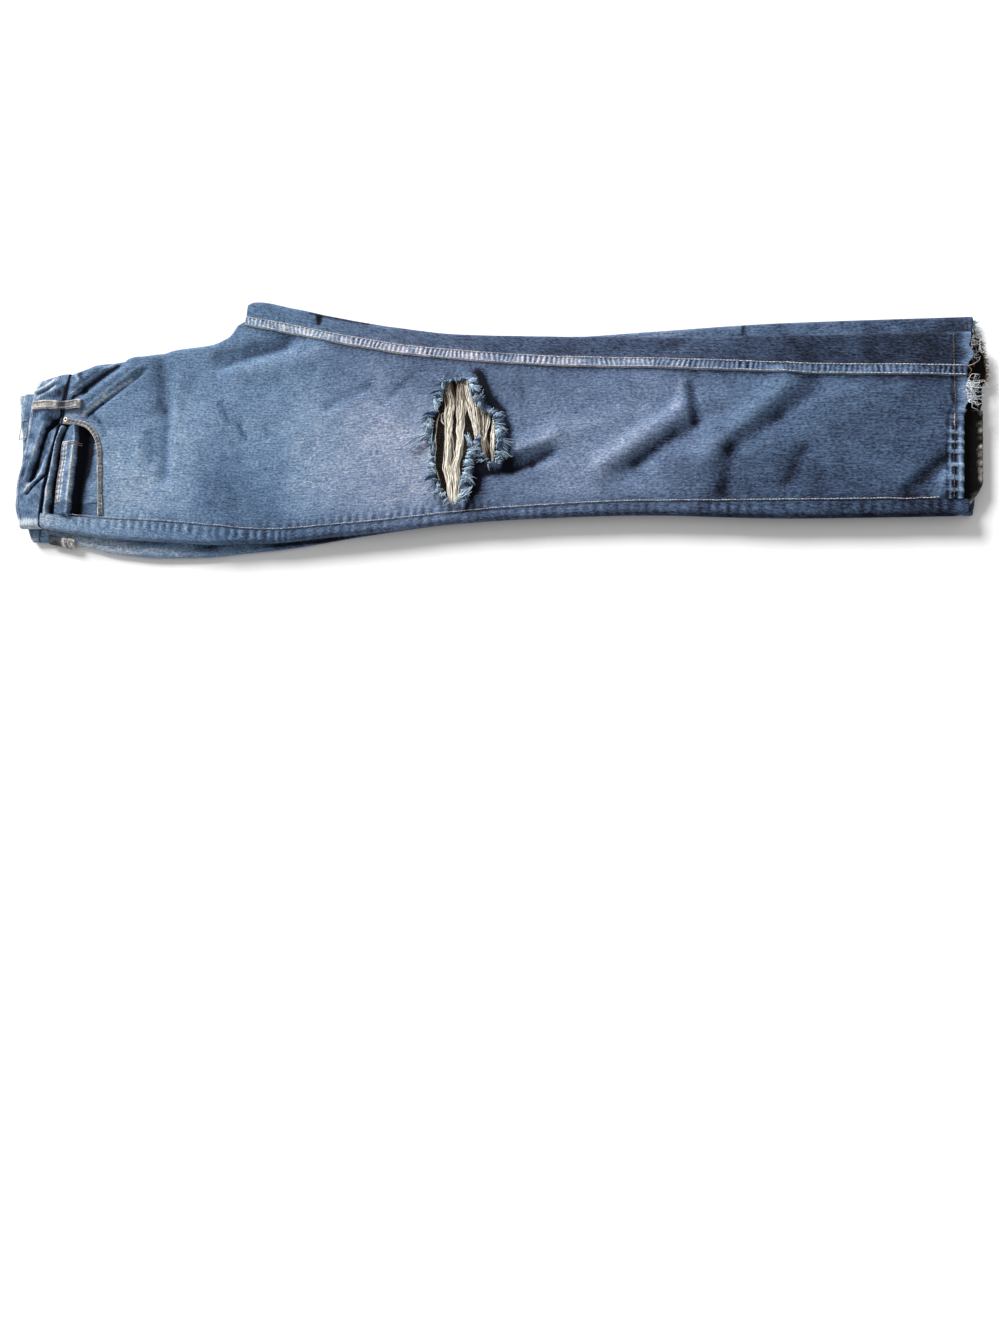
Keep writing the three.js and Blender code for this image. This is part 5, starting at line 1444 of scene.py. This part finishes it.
def edge_tufts(outline, other, chance):
    """Clumps of strands that share a curl, thick on a hole's upright edges, where the other hole doesn't
    open it, and their tones."""
    lines, tones = [], []
    edge = ring(outline)
    spots = even_points(np.concatenate([edge, edge[:1]]), 4.4)
    ways = unit(np.gradient(spots, axis=0))
    out = np.stack([ways[:, 1], -ways[:, 0]], -1)
    if depth_in(edge, *(spots + out).T)[0].mean() > 0:
        out = -out
    clear = depth_in(ring(other), spots[:, 0], spots[:, 1])[0] < -1
    for spot, way in zip(spots[clear], out[clear]):
        upright = abs(way[0])
        stands = way[0] > 0.2
        turn = chance.normal(0.35 * way[0], 0.6)
        c, s = math.cos(turn), math.sin(turn)
        lean = np.array([way[0] * c - way[1] * s, way[0] * s + way[1] * c])
        long = chance.uniform(4.5, 12.0) * (0.35 + 0.65 * upright)
        rise, bend = chance.uniform(0.5, 3.0), chance.normal(0, 0.9)
        tone = chance.beta(1.5, 1.1) if stands else chance.beta(1.0, 1.5)
        for _ in range(int(3 + 12 * upright)):
            back = spot - way * chance.uniform(-0.5, 2.0) + chance.normal(0, 0.9, 2)
            high = top_form(*back) + 1.0 + (6.2 if stands else 1.2) * upright + chance.normal(0, 0.5)
            strand_way = lean + chance.normal(0, 0.13, 2)
            reach = long * chance.uniform(0.6, 1.1)
            lines.append(tuft(np.array([*back, high]), strand_way, reach, rise, chance, bend))
            tones.append(np.clip(tone + chance.normal(0, 0.24), 0, 1))
    return lines, tones


chance = np.random.default_rng(13)
fray, fray_tones = [], []
for outline, other in ((RIP_MAIN, RIP_SIDE), (RIP_SIDE, RIP_MAIN)):
    lines, tones = edge_tufts(outline, other, chance)
    fray += lines
    fray_tones += tones
frayed_warp = thread("frayed_warp", srgb(30, 56, 88), srgb(190, 212, 228))
rip_strands = tubes("rip_fray_strands", fray, np.linspace(0.62, 0.28, 9), fray_tones)
rip_fray = seat(rip_strands, frayed_warp)
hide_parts("rip_fray_waist_side", "rip_fray_knee_side", "rip_fray_shin_side")

# THE HEM'S FRAY AND SEWING
# Above the middle the front hem is torn off along its fold, and a white tuft hangs from it. Dark and
# brown threads stand inside the open leg. A row of brown stitches runs all along the hem.


def hem_fray(name, root, material, count, y_range, way, long, rise, tone, seed):
    """A row of loose strands along a hem between two places across the leg."""
    chance = np.random.default_rng(seed)
    lines, tones = [], []
    for _ in range(count):
        y = chance.uniform(*y_range)
        turn = math.atan2(*way[::-1]) + chance.normal(0, 0.5)
        start = np.array([*root(y)])
        lean = np.array([math.cos(turn), math.sin(turn)])
        lines.append(tuft(start, lean, chance.uniform(*long), chance.uniform(*rise), chance))
        tones.append(chance.uniform(*tone))
    return seat(tubes(name, lines, np.linspace(0.38, 0.16, 9), tones), material)


def front_root(y):
    x = float(hem_x(np.array([y]))[0])
    return x - 1.0, y, float(top_cloth(np.array([1084.0]), np.array([y]))[0]) - 0.3


def back_root(y):
    longer = TORN_LONGER * ridge(y, BACK_TEAR_MIDDLE, BACK_TEAR_HALF)
    return BACK_HEM_X - 1.0 + longer, y, LEG_BOTTOM + 1.2


def left_root(y):
    return LEFT_HEM_X - 0.5, y, 6.0


# Threads from near black to brown.
dark_brown_thread = thread("dark_inner_threads", srgb(20, 18, 18), srgb(132, 112, 94))
white_warp = thread("white_warp", srgb(96, 118, 138), srgb(236, 238, 240))
front_fray = hem_fray(
    "front_hem_tuft", front_root, white_warp, count=54, y_range=(103, 131), way=(1, -0.55),
    long=(6, 18), rise=(-4, 1), tone=(0.0, 1.1), seed=131,
)
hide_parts("right_front_hem_fray")
# Warp threads from near black to grey.
grey_warp = thread("grey_warp", srgb(34, 35, 40), srgb(176, 176, 178))
top_fray = hem_fray(
    "top_hem_fray", front_root, grey_warp, count=56, y_range=(149, 182), way=(1, -0.3),
    long=(2, 11), rise=(-3, 0.5), tone=(0.0, 1.1), seed=132,
)
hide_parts("right_top_hem_fray")
back_fray = hem_fray(
    "back_hem_fray", back_root, dark_brown_thread, count=90, y_range=(129, 172), way=(1, -0.1),
    long=(1, 5), rise=(-0.5, 1.5), tone=(0.0, 0.8), seed=133,
)
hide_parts("right_back_hem_fray")
left_fray = hem_fray(
    "left_hem_fray_strands", left_root, frayed_warp, count=40, y_range=(180, 197), way=(1, -0.3),
    long=(2, 7), rise=(-2, 1), tone=(0.3, 1.0), seed=134,
)
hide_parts("left_hem_fray")

loose_paths = [
    along([(1086, 126, 17), (1101, 128, 15), (1106, 120, 14), (1113, 118, 13), (1118, 121, 12)], 24),
    along([(1070, 141.5, 22), (1084, 141.5, 21), (1092, 145, 18), (1097, 150, 15), (1098, 154, 14)], 24),
    along([(1084, 143, 20), (1089, 138, 17), (1087, 134, 15), (1090, 131, 14), (1094, 133, 13)], 24),
]
seat(tubes("loose_hem_threads", loose_paths, 0.36, [1.0, 1.3, 1.3]), rose_thread)

brown_thread = thread("brown_thread", srgb(38, 34, 40), srgb(116, 96, 84))
HEM_STITCH_X = 1071.5
hem_y = np.linspace(4, 178, 200)
hem_stitch_x = HEM_STITCH_X + 1.0 * ridge(hem_y, 104, 22) + 0.4 * ripple(hem_y, 0 * hem_y, 23, 135)
over_fell = np.exp(-(((hem_y - curve(RIGHT_HALF, "inseam", 1071)) / 6.5) ** 8))
hem_path = on_top(np.column_stack([hem_stitch_x, hem_y]), 0.9)
hem_path[:, 2] += 1.4 * over_fell + 1.0 * (hem_y < 92)
knot_y = np.linspace(78, 92, 40)
knot_path = on_top(np.column_stack([1071.8 + 0.5 * np.sin(3 * knot_y), knot_y]), 1.6)
left_hem_path = np.column_stack([np.full(20, 1086.0), np.linspace(181, 197, 20), np.full(20, 8.6)])
hem_rows = [hem_path, left_hem_path]
stitch_rows("hem_stitches", hem_rows, brown_thread, pitch=3.4, thick=0.45, seed=136)
stitch_rows("hem_knot", [knot_path], rose_thread, pitch=2.2, thick=0.7, seed=137)

# THE FLOOR, THE LIGHT AND THE CAMERA
# A white surface, with the light coming in low from beyond the waist on the inseam side. The camera
# stands over the shin and looks a little back along the leg.

bpy.ops.mesh.primitive_plane_add(size=8)
floor = bpy.context.object
floor.name = "floor"
white = surface("white_floor", Base_Color=(0.9, 0.9, 0.9, 1), Roughness=1.0, Specular_IOR_Level=0.0)[0]
floor.data.materials.append(white)

scene = bpy.context.scene
scene.world = bpy.data.worlds.new("studio")
scene.world.use_nodes = True
sky = scene.world.node_tree.nodes["Background"]
sky.inputs["Color"].default_value = (1, 1, 1, 1)
sky.inputs["Strength"].default_value = 0.5
scene.view_settings.view_transform = "Standard"

SUN_FROM = np.array([-0.58, 0.68, 0.45])
sun = bpy.data.lights.new("low_sun", "SUN")
sun.energy = 6.1
sun.angle = math.radians(24)
sun_holder = bpy.data.objects.new("low_sun", sun)
scene.collection.objects.link(sun_holder)
sun_holder.rotation_euler = Vector(SUN_FROM).to_track_quat("Z", "Y").to_euler()

# Where the camera stands, and how it is turned and rolled.
EYE = np.array([845.35, -310.09, 1060.13])
YAW, PITCH, ROLL = 0.21586, 0.12284, 0.05483
SENSOR = 36.0
FOCAL_PIXELS, FRAME_PIXELS = 1000, 1333
ahead = np.array([-math.sin(YAW) * math.cos(PITCH), math.sin(PITCH), -math.cos(YAW) * math.cos(PITCH)])
level = np.cross(ahead, [0, 1, 0])
level /= np.linalg.norm(level)
above = np.cross(level, ahead)
across_view = level * math.cos(ROLL) + above * math.sin(ROLL)
up_view = above * math.cos(ROLL) - level * math.sin(ROLL)
camera = bpy.data.cameras.new("camera")
camera.sensor_width = SENSOR
camera.lens = FOCAL_PIXELS * SENSOR / FRAME_PIXELS
camera.clip_end = 20
holder = bpy.data.objects.new("camera", camera)
scene.collection.objects.link(holder)
pose = Matrix.Identity(4)
for k in range(3):
    pose[k][0], pose[k][1], pose[k][2] = across_view[k], up_view[k], -ahead[k]
    pose[k][3] = (EYE[k] - ORIGIN[k]) / 1000
holder.matrix_world = pose
scene.camera = holder
